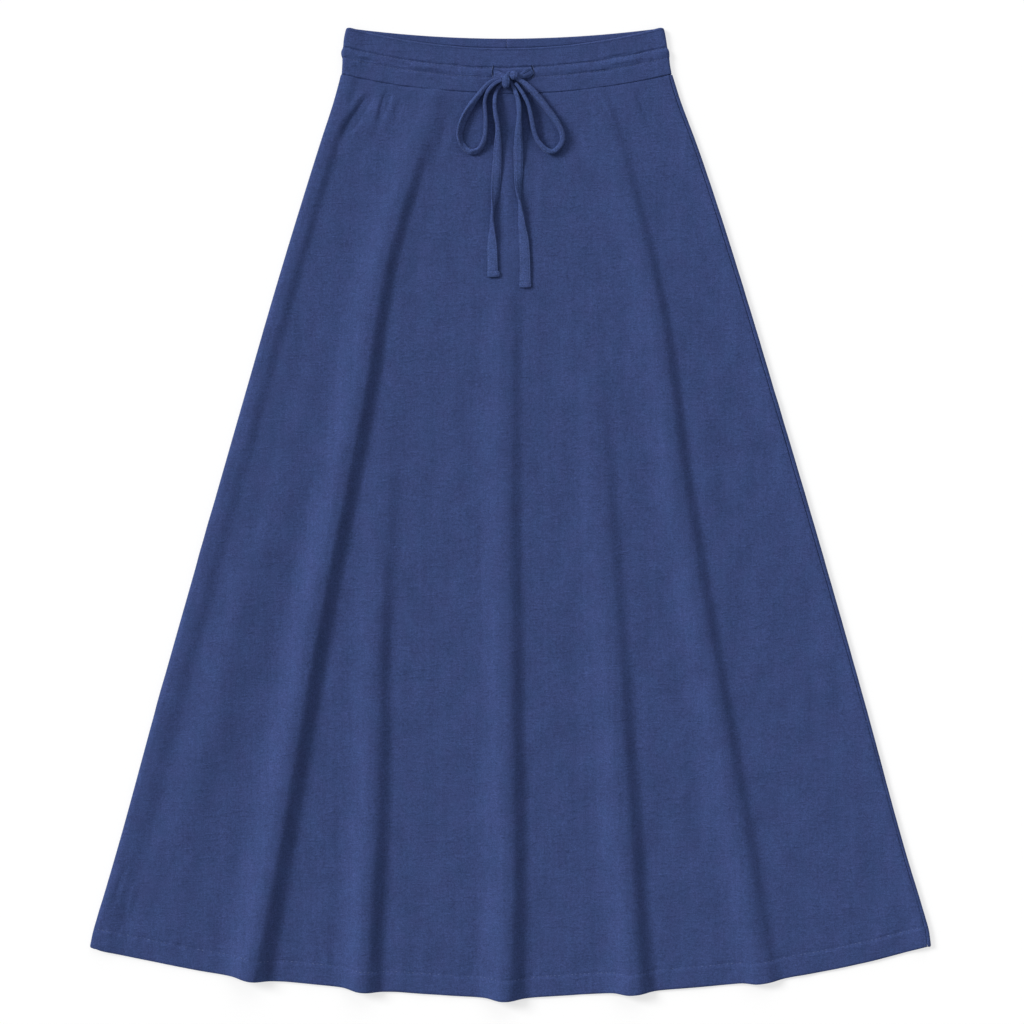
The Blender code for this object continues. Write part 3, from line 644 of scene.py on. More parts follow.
def front_middle_height(x, drop):
    """Height of the middle of the front panel's wall above the surface it lies on."""
    flat = CLOTH + GAP + CLOTH / 2
    left_top = CLOTH / 2 + 2 * skirt_edge("left_roll", drop)
    right_top = CLOTH / 2 + 2 * skirt_edge("right_roll", drop)
    band_middle = BAND_CLOTH + GAP + BAND_CLOTH / 2
    outline = front_left_x(drop) - skirt_edge("left_roll", drop)
    roll_fall = ROLL_FALL + ROLL_FALL_SPREAD * drop
    near_left = 1 - eased((x - outline - ROLL_LEVEL) / roll_fall)
    from_right = (front_right_x(drop) - x) / SIDE_LIFT_WIDTH
    from_top = (drop - front_top_drop(x)) / WAIST_LIFT_LENGTH
    inner = np.minimum(1 - near_left, 1 - bell(from_right))
    lift = (left_top - flat) * near_left + (right_top - flat) * bell(from_right)
    lift = lift + (band_middle - flat) * bell(from_top) * inner
    for fold in FOLDS:
        lift = lift + fold_height(fold, x, drop) * inner
    return flat + lift


def soft_roll(x, drop, height):
    """Rounds the upper side of the left roll down towards the outline."""
    radius = skirt_edge("left_roll", drop)
    low = CLOTH / 2 + radius
    inside = np.clip((x - front_left_x(drop) + radius) / SOFT_ROLL, 0, 1)
    ellipse = np.sqrt(1 - (1 - inside) ** 2)
    sine = np.sin(inside * math.pi / 2)
    return low + (height - low) * (SOFT_ROLL_SHARE * ellipse + (1 - SOFT_ROLL_SHARE) * sine)


def seam_shift(x, drop):
    """How far the cloth near the band's front seam moves up towards the waist."""
    seam = front_top_drop(x)
    near = bell((drop - seam) / SEAM_REACH)
    middle = waist_sag(x, 1.0)
    at_left = bell((x - SEAM_RAISE_LEFT_X) / SEAM_RAISE_LEFT_REACH)
    return near * (SEAM_RAISE * middle + SEAM_RAISE_LEFT * at_left)


def band_middle_height(x, depth):
    flat = BAND_CLOTH + GAP + BAND_CLOTH / 2
    side = BAND_CLOTH / 2 + 2 * BAND_ROLL - flat
    inset = BAND_ROLL + BAND_CLOTH / 2
    from_left = (x - band_edge("left", depth) - inset) / SIDE_LIFT_WIDTH
    from_right = (band_edge("right", depth) - inset - x) / SIDE_LIFT_WIDTH
    middle = (CHANNEL_TOP + CHANNEL_BOTTOM) / 2
    half = (CHANNEL_BOTTOM - CHANNEL_TOP) / 2
    channel = CHANNEL_RISE * bell((depth - middle) / half)
    return flat + side * (bell(from_left) + bell(from_right)) + channel


def top_surface(x, drop):
    """Height of the cloth's upper face at a point of the front, band or skirt."""
    depth = drop - waist_sag(x, FRONT_SAG)
    band = band_middle_height(x, np.minimum(depth, BAND_DEPTH)) + BAND_CLOTH / 2
    skirt = front_middle_height(x, np.maximum(drop, front_top_drop(x))) + CLOTH / 2
    return np.where(depth < BAND_DEPTH, band, skirt)


def meet(line, place, start):
    """Where columns, whose x is place(drop), meet a line across the skirt."""
    drop = start
    for _ in range(6):
        drop = line(place(drop))
    return drop


def crease_relief(creases, x, drop):
    total = np.zeros(np.broadcast(x, drop).shape)
    for crease in creases:
        run_x = crease.end_x - crease.x
        run_drop = crease.end_drop - crease.drop
        long = math.hypot(run_x, run_drop)
        along = ((x - crease.x) * run_x + (drop - crease.drop) * run_drop) / long ** 2
        off = ((x - crease.x) * run_drop - (drop - crease.drop) * run_x) / long
        total += crease.depth * bell(off / crease.width) * np.sqrt(bell(2 * along - 1))
    return total


def edge_rounding(distance, radius):
    """How far a face sinks near its border, so that the border is rounded."""
    inside = np.clip(radius - distance, 0, radius)
    return radius - np.sqrt(radius ** 2 - inside ** 2)


def seam_press(drop):
    """How strongly the right seam is pressed in: less towards the hem."""
    return 1 - SEAM_FADE * eased((drop - SEAM_FADE_START) / SEAM_FADE_LENGTH)


def grid_points(x, drop, height):
    return np.stack((x, LENGTH / 2 - drop, height), axis=2)


def beside(*grids):
    """Grids of the same rows joined side by side."""
    return np.concatenate(grids, axis=1)


def quads(*corners):
    """Four-sided faces from four arrays of point numbers, one array to each corner."""
    return np.stack(corners, axis=-1).reshape(-1, 4).tolist()


def grid_normals(points):
    down = np.gradient(points, axis=0)
    right = np.gradient(points, axis=1)
    normals = np.cross(down, right)
    return normals / np.maximum(np.linalg.norm(normals, axis=2), 1e-12)[:, :, None]


def shell_mesh(name, outer, inner, step):
    """A closed thin wall between two grids; inner has one row to step rows of outer."""
    rows, columns = outer.shape[:2]
    inner_rows = inner.shape[0]
    index = np.arange(rows * columns).reshape(rows, columns)
    behind = np.arange(inner_rows * columns).reshape(inner_rows, columns) + rows * columns
    faces = quads(index[:-1, :-1], index[1:, :-1], index[1:, 1:], index[:-1, 1:])
    faces += quads(behind[:-1, :-1], behind[:-1, 1:], behind[1:, 1:], behind[1:, :-1])
    faces += quads(index[0, :-1], index[0, 1:], behind[0, 1:], behind[0, :-1])
    faces += quads(index[-1, 1:], index[-1, :-1], behind[-1, :-1], behind[-1, 1:])
    for k in range(inner_rows - 1):
        run = slice(k * step, (k + 1) * step + 1)
        faces.append([*index[run, 0][::-1], behind[k, 0], behind[k + 1, 0]])
        faces.append([*index[run, -1], behind[k + 1, -1], behind[k, -1]])
    points = np.concatenate((outer.reshape(-1, 3), inner.reshape(-1, 3)))
    return mesh_object(name, points, faces)


def mesh_object(name, points, faces):
    mesh = bpy.data.meshes.new(name)
    mesh.from_pydata([tuple(p) for p in points], [], [tuple(int(i) for i in f) for f in faces])
    mesh.validate()
    mesh.shade_smooth()
    mesh.set_sharp_from_angle(angle=math.radians(60))
    item = bpy.data.objects.new(name, mesh)
    bpy.context.scene.collection.objects.link(item)
    return item


def fine_rows(top, hem):
    """Drops for each row and column: fine near both ends, even between."""
    rows = [top + FINE_TOP_STEP * k for k in range(FINE_TOP_ROWS)]
    start = rows[-1]
    end = hem - FINE_HEM_STEP * FINE_HEM_ROWS
    for k in range(1, FRONT_BODY_ROWS + 1):
        rows.append(start + (end - start) * k / FRONT_BODY_ROWS)
    rows += [hem - FINE_HEM_STEP * k for k in range(FINE_HEM_ROWS - 1, -1, -1)]
    return np.array(rows)


def trim_rows(rows, step):
    """Drops rows from the body until the count fits the inner side's step."""
    extra = (len(rows) - 1) % step
    keep = np.ones(len(rows), bool)
    middle = len(rows) // 2
    keep[middle:middle + extra] = False
    return rows[keep]


def front_grid():
    """The middle of the front's wall as grids of x, drop and height."""
    lines = [front_left_x]
    for fold in FOLDS:
        lines.append(lambda drop, fold=fold: crest_x(fold, drop))
    lines.append(front_right_x)
    drops = []
    xs = []
    for gap, count in enumerate(FRONT_COLUMNS):
        last = gap == len(FRONT_COLUMNS) - 1
        shares = np.arange(count + 1 if last else count) / count
        if gap == 0:
            shares = shares ** EDGE_CROWDING
        if last:
            shares = 1 - (1 - shares) ** EDGE_CROWDING
        low = lines[gap]
        high = lines[gap + 1]
        place = lambda drop: (1 - shares) * low(drop) + shares * high(drop)
        top = meet(front_top_drop, place, np.full(len(shares), BAND_DEPTH))
        hem = meet(front_hem_drop, place, np.full(len(shares), LENGTH))
        drop = trim_rows(fine_rows(top, hem), ROW_STEP)
        drops.append(drop)
        xs.append(place(drop))
    drop = beside(*drops)
    x = beside(*xs)
    height = front_middle_height(x, drop)
    edge = drop[:, :1]
    radius = skirt_edge("left_roll", edge)
    angles = np.linspace(0, math.pi, ARC_STEPS)[None, :-1]
    arc_x = front_left_x(edge) - radius * np.sin(angles)
    arc_height = CLOTH / 2 + radius - radius * np.cos(angles)
    upper = ARC_STEPS // 2
    arc_height[:, upper:] = soft_roll(arc_x[:, upper:], edge, 2 * radius + CLOTH / 2)
    height = soft_roll(x, drop, height)
    tuck_x = front_left_x(edge) + ROLL_TUCK
    tuck_height = np.full_like(edge, CLOTH / 2)
    x = beside(tuck_x, arc_x, x)
    height = beside(tuck_height, arc_height, height)
    drop = beside(np.repeat(edge, ARC_STEPS, axis=1), drop)
    return x, drop, height


def cloth_relief(x, drop):
    """Soft unevenness of laid cloth, with the listed creases."""
    ripples = sum(rippled(ripple, x, drop) for ripple in CLOTH_RIPPLES)
    return ripples + crease_relief(CREASES, x, drop)


def hem_relief(x, hem_distance):
    """The turned hem's step, its stitch line's groove and the puckers beside it."""
    step = HEM_LIFT * np.clip((HEM_DEPTH + HEM_STEP_EARLY - hem_distance) / HEM_STEP, 0, 1)
    from_line = hem_distance - HEM_DEPTH
    groove = -HEM_GROOVE * bell(from_line / HEM_GROOVE_WIDTH)
    pucker = rippled(HEM_PUCKER, x, x) * bell(from_line / PUCKER_REACH)
    pull = rippled(HEM_PULL, x, hem_distance)
    return step + groove + pucker + pull * bell(from_line / PULL_REACH)


def build_front():
    x, drop, height = front_grid()
    middle = grid_points(x, drop, height)
    normals = grid_normals(middle)
    hem_distance = drop[-1:] - drop
    top_distance = drop - drop[:1]
    on_top = np.clip((normals[:, :, 2] - 0.2) / 0.5, 0, 1)
    relief = cloth_relief(x, drop) * np.clip(top_distance / TOP_CALM_REACH, TOP_CALM, 1)
    waist_pucker = rippled(WAIST_PUCKER, x, top_distance)
    relief += waist_pucker * bell(top_distance / WAIST_PUCKER_REACH)
    relief += hem_relief(x, hem_distance)
    relief = relief * on_top
    right_distance = np.linalg.norm(middle - middle[:, -1:], axis=2)
    sink = edge_rounding(hem_distance, PANEL_HEM_ROUND)
    sink = sink + edge_rounding(right_distance, PANEL_SIDE_ROUND) * seam_press(drop)
    under_band = 1 - eased(top_distance / SEAM_GROOVE_WIDTH)
    sink = sink + SEAM_GROOVE * under_band
    outer = middle + normals * (CLOTH / 2 + relief - sink)[:, :, None]
    inner = middle + normals * (CLOTH / 2 - SHELL - SEAM_GROOVE * under_band)[:, :, None]
    shift = seam_shift(x, drop) + SEAM_TUCK * (1 - eased(top_distance / SEAM_TUCK_REACH))
    outermost = middle[-1, ARC_STEPS // 2, 0]
    corner = edge_rounding(hem_distance, CORNER_RADIUS) * bell((x - outermost) / CORNER_REACH)
    for side in (outer, inner):
        side[:, :, 0] += corner
        side[:, :, 1] += shift
        side[:, :, 2] = np.maximum(side[:, :, 2], FLOOR_GAP)
    panel = shell_mesh("front_panel_cloth", outer, inner[::ROW_STEP], ROW_STEP)
    return panel, outer, normals, hem_distance


def build_back():
    """The back panel from its seam on the front, round the right roll, to the left."""
    start = lambda drop: skirt_edge("right", drop) - skirt_edge("right_roll", drop) - CLOTH / 2
    end = lambda drop: front_left_x(drop) + ROLL_TUCK + GAP
    shares = np.linspace(0, 1, BACK_COLUMNS + 1)
    place = lambda drop: (1 - shares) * start(drop) + shares * end(drop)
    top = meet(back_top_drop, place, np.full(len(shares), BAND_DEPTH))
    hem = meet(back_hem_drop, place, np.full(len(shares), LENGTH))
    drop = trim_rows(fine_rows(top, hem), ROW_STEP)
    x = place(drop)
    height = np.full_like(x, CLOTH / 2)
    edge_top = meet(front_top_drop, front_right_x, np.array([BAND_DEPTH]))
    edge_hem = meet(front_hem_drop, front_right_x, np.array([LENGTH]))
    edge = trim_rows(fine_rows(edge_top, edge_hem), ROW_STEP)
    radius = skirt_edge("right_roll", edge)
    angles = np.linspace(math.pi, 0, ARC_STEPS)[None, :-1]
    arc_x = start(edge) + radius * np.sin(angles)
    arc_height = CLOTH / 2 + radius - radius * np.cos(angles)
    seam_x = skirt_edge("right", edge) - skirt_edge("seam_inset", edge)
    between = (seam_x + start(edge)) / 2
    seam_height = CLOTH / 2 + 2 * radius
    x = beside(seam_x, between, arc_x, x)
    height = beside(seam_height, seam_height, arc_height, height)
    drop = beside(np.repeat(edge, ARC_STEPS + 1, axis=1), drop)
    middle = grid_points(x, drop, height)
    normals = grid_normals(middle)
    seam_distance = np.linalg.norm(middle - middle[:, :1], axis=2)
    hem_distance = drop[-1:] - drop
    relief = rippled(BACK_RIPPLE, x, drop) * np.clip(normals[:, :, 2] + 0.6, 0, 1)
    sink = edge_rounding(seam_distance, PANEL_SIDE_ROUND) * seam_press(drop)
    sink = sink + edge_rounding(hem_distance, PANEL_HEM_ROUND)
    outer = middle + normals * (CLOTH / 2 + relief - sink)[:, :, None]
    inner = middle + normals * (CLOTH / 2 - SHELL)
    for side in (outer, inner):
        side[:, :, 2] = np.maximum(side[:, :, 2], BACK_FLOOR_GAP)
    return shell_mesh("back_panel_cloth", outer, inner[::ROW_STEP], ROW_STEP)


def band_depths():
    return BAND_DEPTH * np.linspace(0, 1, BAND_ROWS + 1) ** BAND_CROWDING


def band_grid(depth):
    """The band's middle from its centre-back seam round by the left side to that seam again."""
    inset = BAND_ROLL + BAND_CLOTH / 2
    rounded = edge_rounding(depth, BAND_CORNER)
    left = band_edge("left", depth) + inset + rounded
    right = band_edge("right", depth) - inset - rounded
    centre = (left + right) / 2 + BACK_SEAM_SHIFT
    back_shares = np.linspace(0, 1, BAND_BACK_COLUMNS + 1)[None]
    front_shares = np.linspace(0, 1, BAND_FRONT_COLUMNS + 1)[None]
    angles = np.linspace(0, math.pi, ARC_STEPS)[None, :-1]
    low = np.full((len(depth), BAND_BACK_COLUMNS), BAND_CLOTH / 2)

    def sagged(x, amount):
        across = (2 * x - left - right) / (right - left)
        return depth + amount * np.maximum(1 - across ** 2, 0)

    shares = back_shares ** (1 / EDGE_CROWDING)
    to_left = shares[:, ::-1][:, :-1]
    back_left = (1 - to_left) * left + to_left * (centre - BACK_SEAM_GAP / 2)
    back_right = (1 - shares[:, 1:]) * right + shares[:, 1:] * (centre + BACK_SEAM_GAP / 2)
    front = (1 - front_shares) * left + front_shares * right
    arc_height = low[:, :1] + BAND_ROLL - BAND_ROLL * np.cos(angles)
    arc_depth = np.repeat(depth, ARC_STEPS - 1, axis=1)
    strips = (
        (back_left, sagged(back_left, BACK_SAG), low),
        (left - BAND_ROLL * np.sin(angles), arc_depth, arc_height),
        (front, sagged(front, FRONT_SAG), band_middle_height(front, depth)),
        ((right + BAND_ROLL * np.sin(angles))[:, ::-1], arc_depth, arc_height[:, ::-1]),
        (back_right, sagged(back_right, BACK_SAG), low),
    )
    return [beside(*parts) for parts in zip(*strips)]


def band_relief(x, drop, depth):
    """The channel's stitch lines, the raised rim, the puckers, ripples and creases."""
    relief = 0
    near_lines = 0
    for line in CHANNEL_LINES:
        off = depth - line.depth - rippled(line.wander, x, x)
        strength = 1 + rippled(line.variation, x, x)
        relief = relief - line.groove * strength * bell(off / line.width)
        near_lines = near_lines + bell(off / CHANNEL_PUCKER_REACH)
    relief += RIM_RISE * bell((depth - RIM_DEPTH) / RIM_DEPTH)
    relief += rippled(CHANNEL_PUCKER, x, depth) * near_lines
    relief += rippled(BAND_RIPPLE, x, drop)
    return relief + crease_relief(BAND_CREASES, x, drop)


def build_band():
    """The band as one doubled strip, with its back seam closed but for a hair."""
    depth = band_depths()[:, None]
    x, drop, height = band_grid(depth)
    middle = grid_points(x, drop, height)
    normals = grid_normals(middle)
    on_top = np.clip((normals[:, :, 2] + 0.3) / 0.5, 0, 1)
    relief = band_relief(x, drop, depth) * on_top
    top_round = edge_rounding(depth, BAND_TOP_ROUND)
    sink = top_round + edge_rounding(BAND_DEPTH - depth, BAND_SEAM_ROUND)
    outer = middle + normals * (BAND_CLOTH / 2 + relief - sink)[:, :, None]
    parting = depth + GAP - waist_sag(x, FRONT_SAG - BACK_SAG)
    on_back = np.clip(-normals[:, :, 2], 0, 1)
    apart = waist_sag(x, 1.0)
    parted = PARTING_GROOVE * bell(parting / PARTING_WIDTH) * on_back * apart
    from_seam = np.minimum(np.abs(x - middle[:, :1, 0]), 1.0)
    parted = parted + BACK_SEAM_GROOVE * bell(from_seam / BACK_SEAM_GROOVE_WIDTH) * on_back
    inner = middle - normals * (BAND_CLOTH / 2 - (top_round + parted))[:, :, None]
    shift = np.where(normals[:, :, 2] > 0, 1, 0) * seam_shift(x, drop)
    for side in (outer, inner):
        side[:, :, 1] += shift
    outer[:, :, 2] = np.maximum(outer[:, :, 2], FLOOR_GAP)
    band = shell_mesh("waistband_cloth", outer, inner, 1)
    cut_slits(band)
    return band, outer, normals


def slit_bend(slit, along):
    """How far a buttonhole bows sideways, from -1 at its lower end to 1 at its upper end."""
    return slit.bow * (1 - along ** 2)


def cut_slits(band):
    """Two bowed upright buttonholes through the front of the band, clear of its back."""
    low = BAND_CLOTH + GAP / 2
    high = low + SLIT_CUT
    corners = []
    faces = []
    for slit in SLITS:
        start = len(corners)
        for along in np.linspace(-1, 1, SLIT_STEPS + 1):
            middle = slit.x + slit_bend(slit, along)
            half = SLIT_WIDTH / 2 * (1 - SLIT_TAPER * along ** 2)
            y = LENGTH / 2 - SLIT_DROP + along * SLIT_HEIGHT / 2
            corners += [(middle + side * half, y, z) for side, z in (
                (-1, low), (1, low), (1, high), (-1, high),
            )]
        for k in range(SLIT_STEPS):
            ring = start + 4 * k
            for s in range(4):
                t = (s + 1) % 4
                faces.append((ring + s, ring + 4 + s, ring + 4 + t, ring + t))
        last = start + 4 * SLIT_STEPS
        faces += [(start, start + 1, start + 2, start + 3), (last + 3, last + 2, last + 1, last)]
    cutter = mesh_object("slit_cutter", corners, faces)
    cut = band.modifiers.new("slits", "BOOLEAN")
    cut.operation = "DIFFERENCE"
    cut.solver = "EXACT"
    cut.object = cutter
    bpy.context.view_layer.update()
    shape = band.evaluated_get(bpy.context.evaluated_depsgraph_get())
    cut_mesh = bpy.data.meshes.new_from_object(shape)
    band.modifiers.clear()
    band.data = cut_mesh
    bpy.data.objects.remove(cutter)


def upright(line):
    """A line for stitches whose upper side looks straight up."""
    return line, np.tile((0.0, 0.0, 1.0), (len(line), 1))


def slit_rims():
    """Lines beside the two buttonholes, away from the knot, for their edge stitches."""
    lines = []
    for slit in SLITS:
        angles = np.linspace(-math.pi / 2, math.pi / 2, SLIT_RIM_STEPS)
        along = np.sin(angles) * SLIT_RIM_LENGTH
        wide = math.copysign(SLIT_WIDTH / 2 + SLIT_RIM / 2, slit.bow)
        round_x = slit.x + slit_bend(slit, along) + wide * np.abs(np.cos(angles)) ** 0.5
        round_drop = SLIT_DROP - along * SLIT_HEIGHT / 2
        height = top_surface(round_x, round_drop) + slit.rim_lift
        lines.append(upright(np.column_stack((round_x, LENGTH / 2 - round_drop, height))))
    return lines


def tape_route(stops):
    x_stops = column(stops, "x")
    drop_stops = column(stops, "drop")
    steps = np.hypot(np.diff(x_stops), np.diff(drop_stops))
    reach = np.concatenate(([0.0], np.cumsum(steps)))
    rings = int(reach[-1] / TAPE_RING_STEP)
    at = np.linspace(0.0, reach[-1], rings)
    return at, [curve_at(reach, column(stops, field), at) for field in Tape._fields]


def tape_hem(look, at):
    """Where the tape's end is doubled, from 0 to 1, and the groove of its stitch line."""
    if not look.hem:
        return np.zeros(len(at)), np.zeros(len(at))
    from_hem = at - (at[-1] - look.hem)
    groove = TAPE_HEM_GROOVE * bell(from_hem / TAPE_HEM_GROOVE_WIDTH)
    return np.clip(from_hem / TAPE_HEM_STEP, 0, 1), groove


def build_tape(look):
    """A soft tape along its stops, with a trough and stitched edges pressed into it."""
    at, (x, drop, width, thick, turn, lift) = tape_route(look.stops)
    along = np.column_stack((np.gradient(x), -np.gradient(drop)))
    along = along / np.linalg.norm(along, axis=1)[:, None]
    across = np.column_stack((along[:, 1], -along[:, 0]))
    ground = np.max([
        top_surface(x + side * width * across[:, 0], drop - side * width * across[:, 1])
        for side in (-0.5, -0.25, 0.0, 0.25, 0.5)
    ], axis=0)
    turn = np.radians(turn)
    tall = np.hypot(width * np.sin(turn), thick * np.cos(turn))
    hemmed, hem_groove = tape_hem(look, at)
    thick = thick + TAPE_HEM_THICKER * hemmed
    width = width + (TAPE_HEM_WIDER + look.flare) * hemmed
    wobble = 0.00025 * waves(at, at * 0, look.seed, 0.02, 6)
    width = width * (1 + 0.05 * waves(at, at * 0, look.seed + 1, 0.03, 5))
    height = ground + GAP + tall / 2 + lift
    points = []
    square = TAPE_ROUND - TAPE_SQUARE * np.clip((thick / width - 0.6) / 0.8, 0, 1)
    flat = np.clip((width - TAPE_FLAT_WIDTH) / TAPE_FLAT_SPAN, 0, 1)
    uneven = 1 + 0.3 * waves(at, at * 0, look.seed + 2, 0.03, 5)
    for s in range(TAPE_SIDES):
        angle = 2 * math.pi * (s + 0.5) / TAPE_SIDES
        out = np.sign(math.cos(angle)) * abs(math.cos(angle)) ** TAPE_SIDE_ROUND * width / 2
        up = np.sign(math.sin(angle)) * abs(math.sin(angle)) ** square * thick / 2
        edge = np.abs(out) - (width / 2 - TAPE_EDGE_INSET)
        pressed = TAPE_EDGE_GROOVE * bell(edge / TAPE_EDGE_GROOVE_WIDTH) * flat + hem_groove
        if math.sin(angle) > 0:
            from_trough = (out / width - look.trough_at) / look.trough_wide
            trough = look.trough_deep * bell(from_trough) * flat
            pressed = pressed + trough * uneven
        up = up - np.sign(up) * np.minimum(pressed, thick * TAPE_PRESSED_SHARE) + wobble * 0.3
        side = out * np.cos(turn) - up * np.sin(turn) - look.flare / 2 * hemmed
        rise = out * np.sin(turn) + up * np.cos(turn)
        points.append(np.column_stack((
            x + side * across[:, 0],
            LENGTH / 2 - drop + side * across[:, 1],
            height + rise,
        )))
    points = np.stack(points, axis=1)
    centres = points.mean(axis=1)
    for k, share in TAPE_END_RINGS:
        points[k] = centres[k] + (points[k] - centres[k]) * share
    index = np.arange(points.shape[0] * TAPE_SIDES).reshape(-1, TAPE_SIDES)
    following = np.roll(index, -1, axis=1)
    faces = quads(index[1:], following[1:], following[:-1], index[:-1])
    faces += [index[0].tolist(), index[-1][::-1].tolist()]
    item = mesh_object("drawstring_" + look.name + "_tape", points.reshape(-1, 3), faces)
    return item, centres, points, at


def tape_stitch_lines(made):
    """Rows of edge stitches along the tapes, and one across each hemmed end."""
    lines = []
    for row in TAPE_STITCHES:
        _, _, points, at = made[row.tape]
        keep = (at >= row.start) & (at <= min(row.end, at[-1] - TAPE_STITCH_END))
        lines.append(upright(points[keep, row.side]))
    for look in TAPES:
        if look.hem:
            _, _, points, at = made[look.name]
            ring = int(np.searchsorted(at, at[-1] - look.hem + TAPE_HEM_STEP))
            lines.append(upright(points[ring, TAPE_HEM_SIDES]))
    return lines


def build_lobe(lobe, ground):
    """Points and faces of one rounded lobe of the knot, creased where the tape turns."""
    theta = np.linspace(0, math.pi, LOBE_RINGS + 1)[1:-1, None]
    phi = np.linspace(0, 2 * math.pi, LOBE_SIDES, endpoint=False)[None]
    x = np.sin(theta) * np.cos(phi)
    y = np.sin(theta) * np.sin(phi)
    z = np.cos(theta) + 0 * phi
    swell = 1
    for dent in LOBE_DENTS:
        swell = swell - dent.depth * bell((x - dent.x) / dent.width)
    swell = swell + rippled(LOBE_RIPPLE, x, y)
    z = np.sign(z) * np.abs(z) ** LOBE_SQUARE
    tilt = math.radians(lobe.tilt)
    px = lobe.half_x * x * swell
    py = lobe.half_y * y * swell
    pz = lobe.half_z * z * swell
    points = np.stack((
        lobe.x + px * math.cos(tilt) - py * math.sin(tilt),
        LENGTH / 2 - lobe.drop + px * math.sin(tilt) + py * math.cos(tilt),
        ground + lobe.lift + pz,
    ), axis=2).reshape(-1, 3)
    poles = np.array([
        (lobe.x, LENGTH / 2 - lobe.drop, ground + lobe.lift + side * lobe.half_z)
        for side in (1, -1)
    ])
    index = np.arange(len(points)).reshape(-1, LOBE_SIDES)
    following = np.roll(index, -1, axis=1)
    faces = quads(index[:-1], index[1:], following[1:], following[:-1])
    top = index.size
    for c in range(LOBE_SIDES):
        faces.append([top, index[0, c], following[0, c]])
        faces.append([top + 1, following[-1, c], index[-1, c]])
    return np.concatenate((points, poles)), faces


def build_knot():
    ground = float(max(top_surface(lobe.x, lobe.drop) for lobe in KNOT_LOBES)) + GAP
    all_points = []
    all_faces = []
    start = 0
    for lobe in KNOT_LOBES:
        points, faces = build_lobe(lobe, ground)
        all_points.append(points)
        all_faces += [[i + start for i in face] for face in faces]
        start += len(points)
    return mesh_object("drawstring_knot_cloth", np.concatenate(all_points), all_faces)


def stitch_template(kind):
    """One stitch along +X with +Z up: a short thread, thin where it enters the cloth."""
    stations = (
        (-0.5, 0.25, -0.9),
        (-0.34, 0.9, 0.1),
        (0.0, 1.0, 0.5),
        (0.34, 0.9, 0.1),
        (0.5, 0.25, -0.9),
    )
    points = []
    for along, fat, rise in stations:
        for s in range(STITCH_SIDES):
            angle = 2 * math.pi * s / STITCH_SIDES
            points.append((
                along * kind.length,
                math.cos(angle) * fat * kind.thread,
                (math.sin(angle) * fat + rise) * kind.thread,
            ))
    index = np.arange(len(points)).reshape(-1, STITCH_SIDES)
    following = np.roll(index, -1, axis=1)
    faces = quads(index[:-1], index[1:], following[1:], following[:-1])
    faces += [index[0].tolist(), index[-1][::-1].tolist()]
    return np.array(points), faces


def on_line(at, reach, values):
    """The values part of the way along a line whose points lie at these reaches."""
    return np.stack([np.interp(at, reach, values[:, k]) for k in range(3)], axis=1)


def build_stitches(name, kind, seed, lines):
    """Running stitches along lines, each a pair of points and normals on the cloth."""
    template, template_faces = stitch_template(kind)
    random = np.random.default_rng(seed)
    all_points = []
    all_faces = []
    start = 0
    for points, normals in lines:
        steps = np.linalg.norm(np.diff(points, axis=0), axis=1)
        reach = np.concatenate(([0.0], np.cumsum(steps)))
        at = np.arange(kind.length, reach[-1] - kind.length, kind.length + kind.gap)
        place = on_line(at, reach, points)
        up = on_line(at, reach, normals)
        along = on_line(at + STITCH_AHEAD, reach, points) - place
        along /= np.linalg.norm(along, axis=1)[:, None]
        side = np.cross(up, along)
        side /= np.linalg.norm(side, axis=1)[:, None]
        up = np.cross(along, side)
        for k in range(len(at)):
            turn = math.radians(random.uniform(-kind.tilt, kind.tilt))
            ahead_k = along[k] * math.cos(turn) + side[k] * math.sin(turn)
            side_k = side[k] * math.cos(turn) - along[k] * math.sin(turn)
            frame_rows = np.stack((ahead_k, side_k, up[k]))
            size = 1 + kind.uneven * random.uniform(-1.0, 0.6)
            sunk = up[k] * kind.thread * kind.uneven * random.uniform(-1.2, 0.2)
            all_points.append(place[k] + sunk + (template * size) @ frame_rows)
            all_faces += [[i + start for i in face] for face in template_faces]
            start += len(template)
    return mesh_object(name, np.concatenate(all_points), all_faces)


def set_inputs(item, **values):
    for name, value in values.items():
        item.inputs[name.replace("_", " ")].default_value = value


def node(tree, kind, **inputs):
    item = tree.nodes.new(kind)
    set_inputs(item, **inputs)
    return item


def new_material(name):
    """A new material, its node tree and its shader."""
    material = bpy.data.materials.new(name)
    material.use_nodes = True
    return material, material.node_tree, material.node_tree.nodes["Principled BSDF"]


def stretched_noise(tree, place, stretch, detail):
    mapping = node(tree, "ShaderNodeMapping", Scale=stretch)
    tree.links.new(place, mapping.inputs["Vector"])
    noise = node(tree, "ShaderNodeTexNoise", Scale=1.0, Detail=detail, Roughness=0.55)
    tree.links.new(mapping.outputs["Vector"], noise.inputs["Vector"])
    return noise.outputs["Fac"]


def scaled(tree, value, low, high, to_low, to_high):
    item = tree.nodes.new("ShaderNodeMapRange")
    set_inputs(item, From_Min=low, From_Max=high, To_Min=to_low, To_Max=to_high)
    tree.links.new(value, item.inputs["Value"])
    return item.outputs["Result"]


def multiplied(tree, first, second):
    item = tree.nodes.new("ShaderNodeMath")
    item.operation = "MULTIPLY"
    tree.links.new(first, item.inputs[0])
    tree.links.new(second, item.inputs[1])
    return item.outputs["Value"]


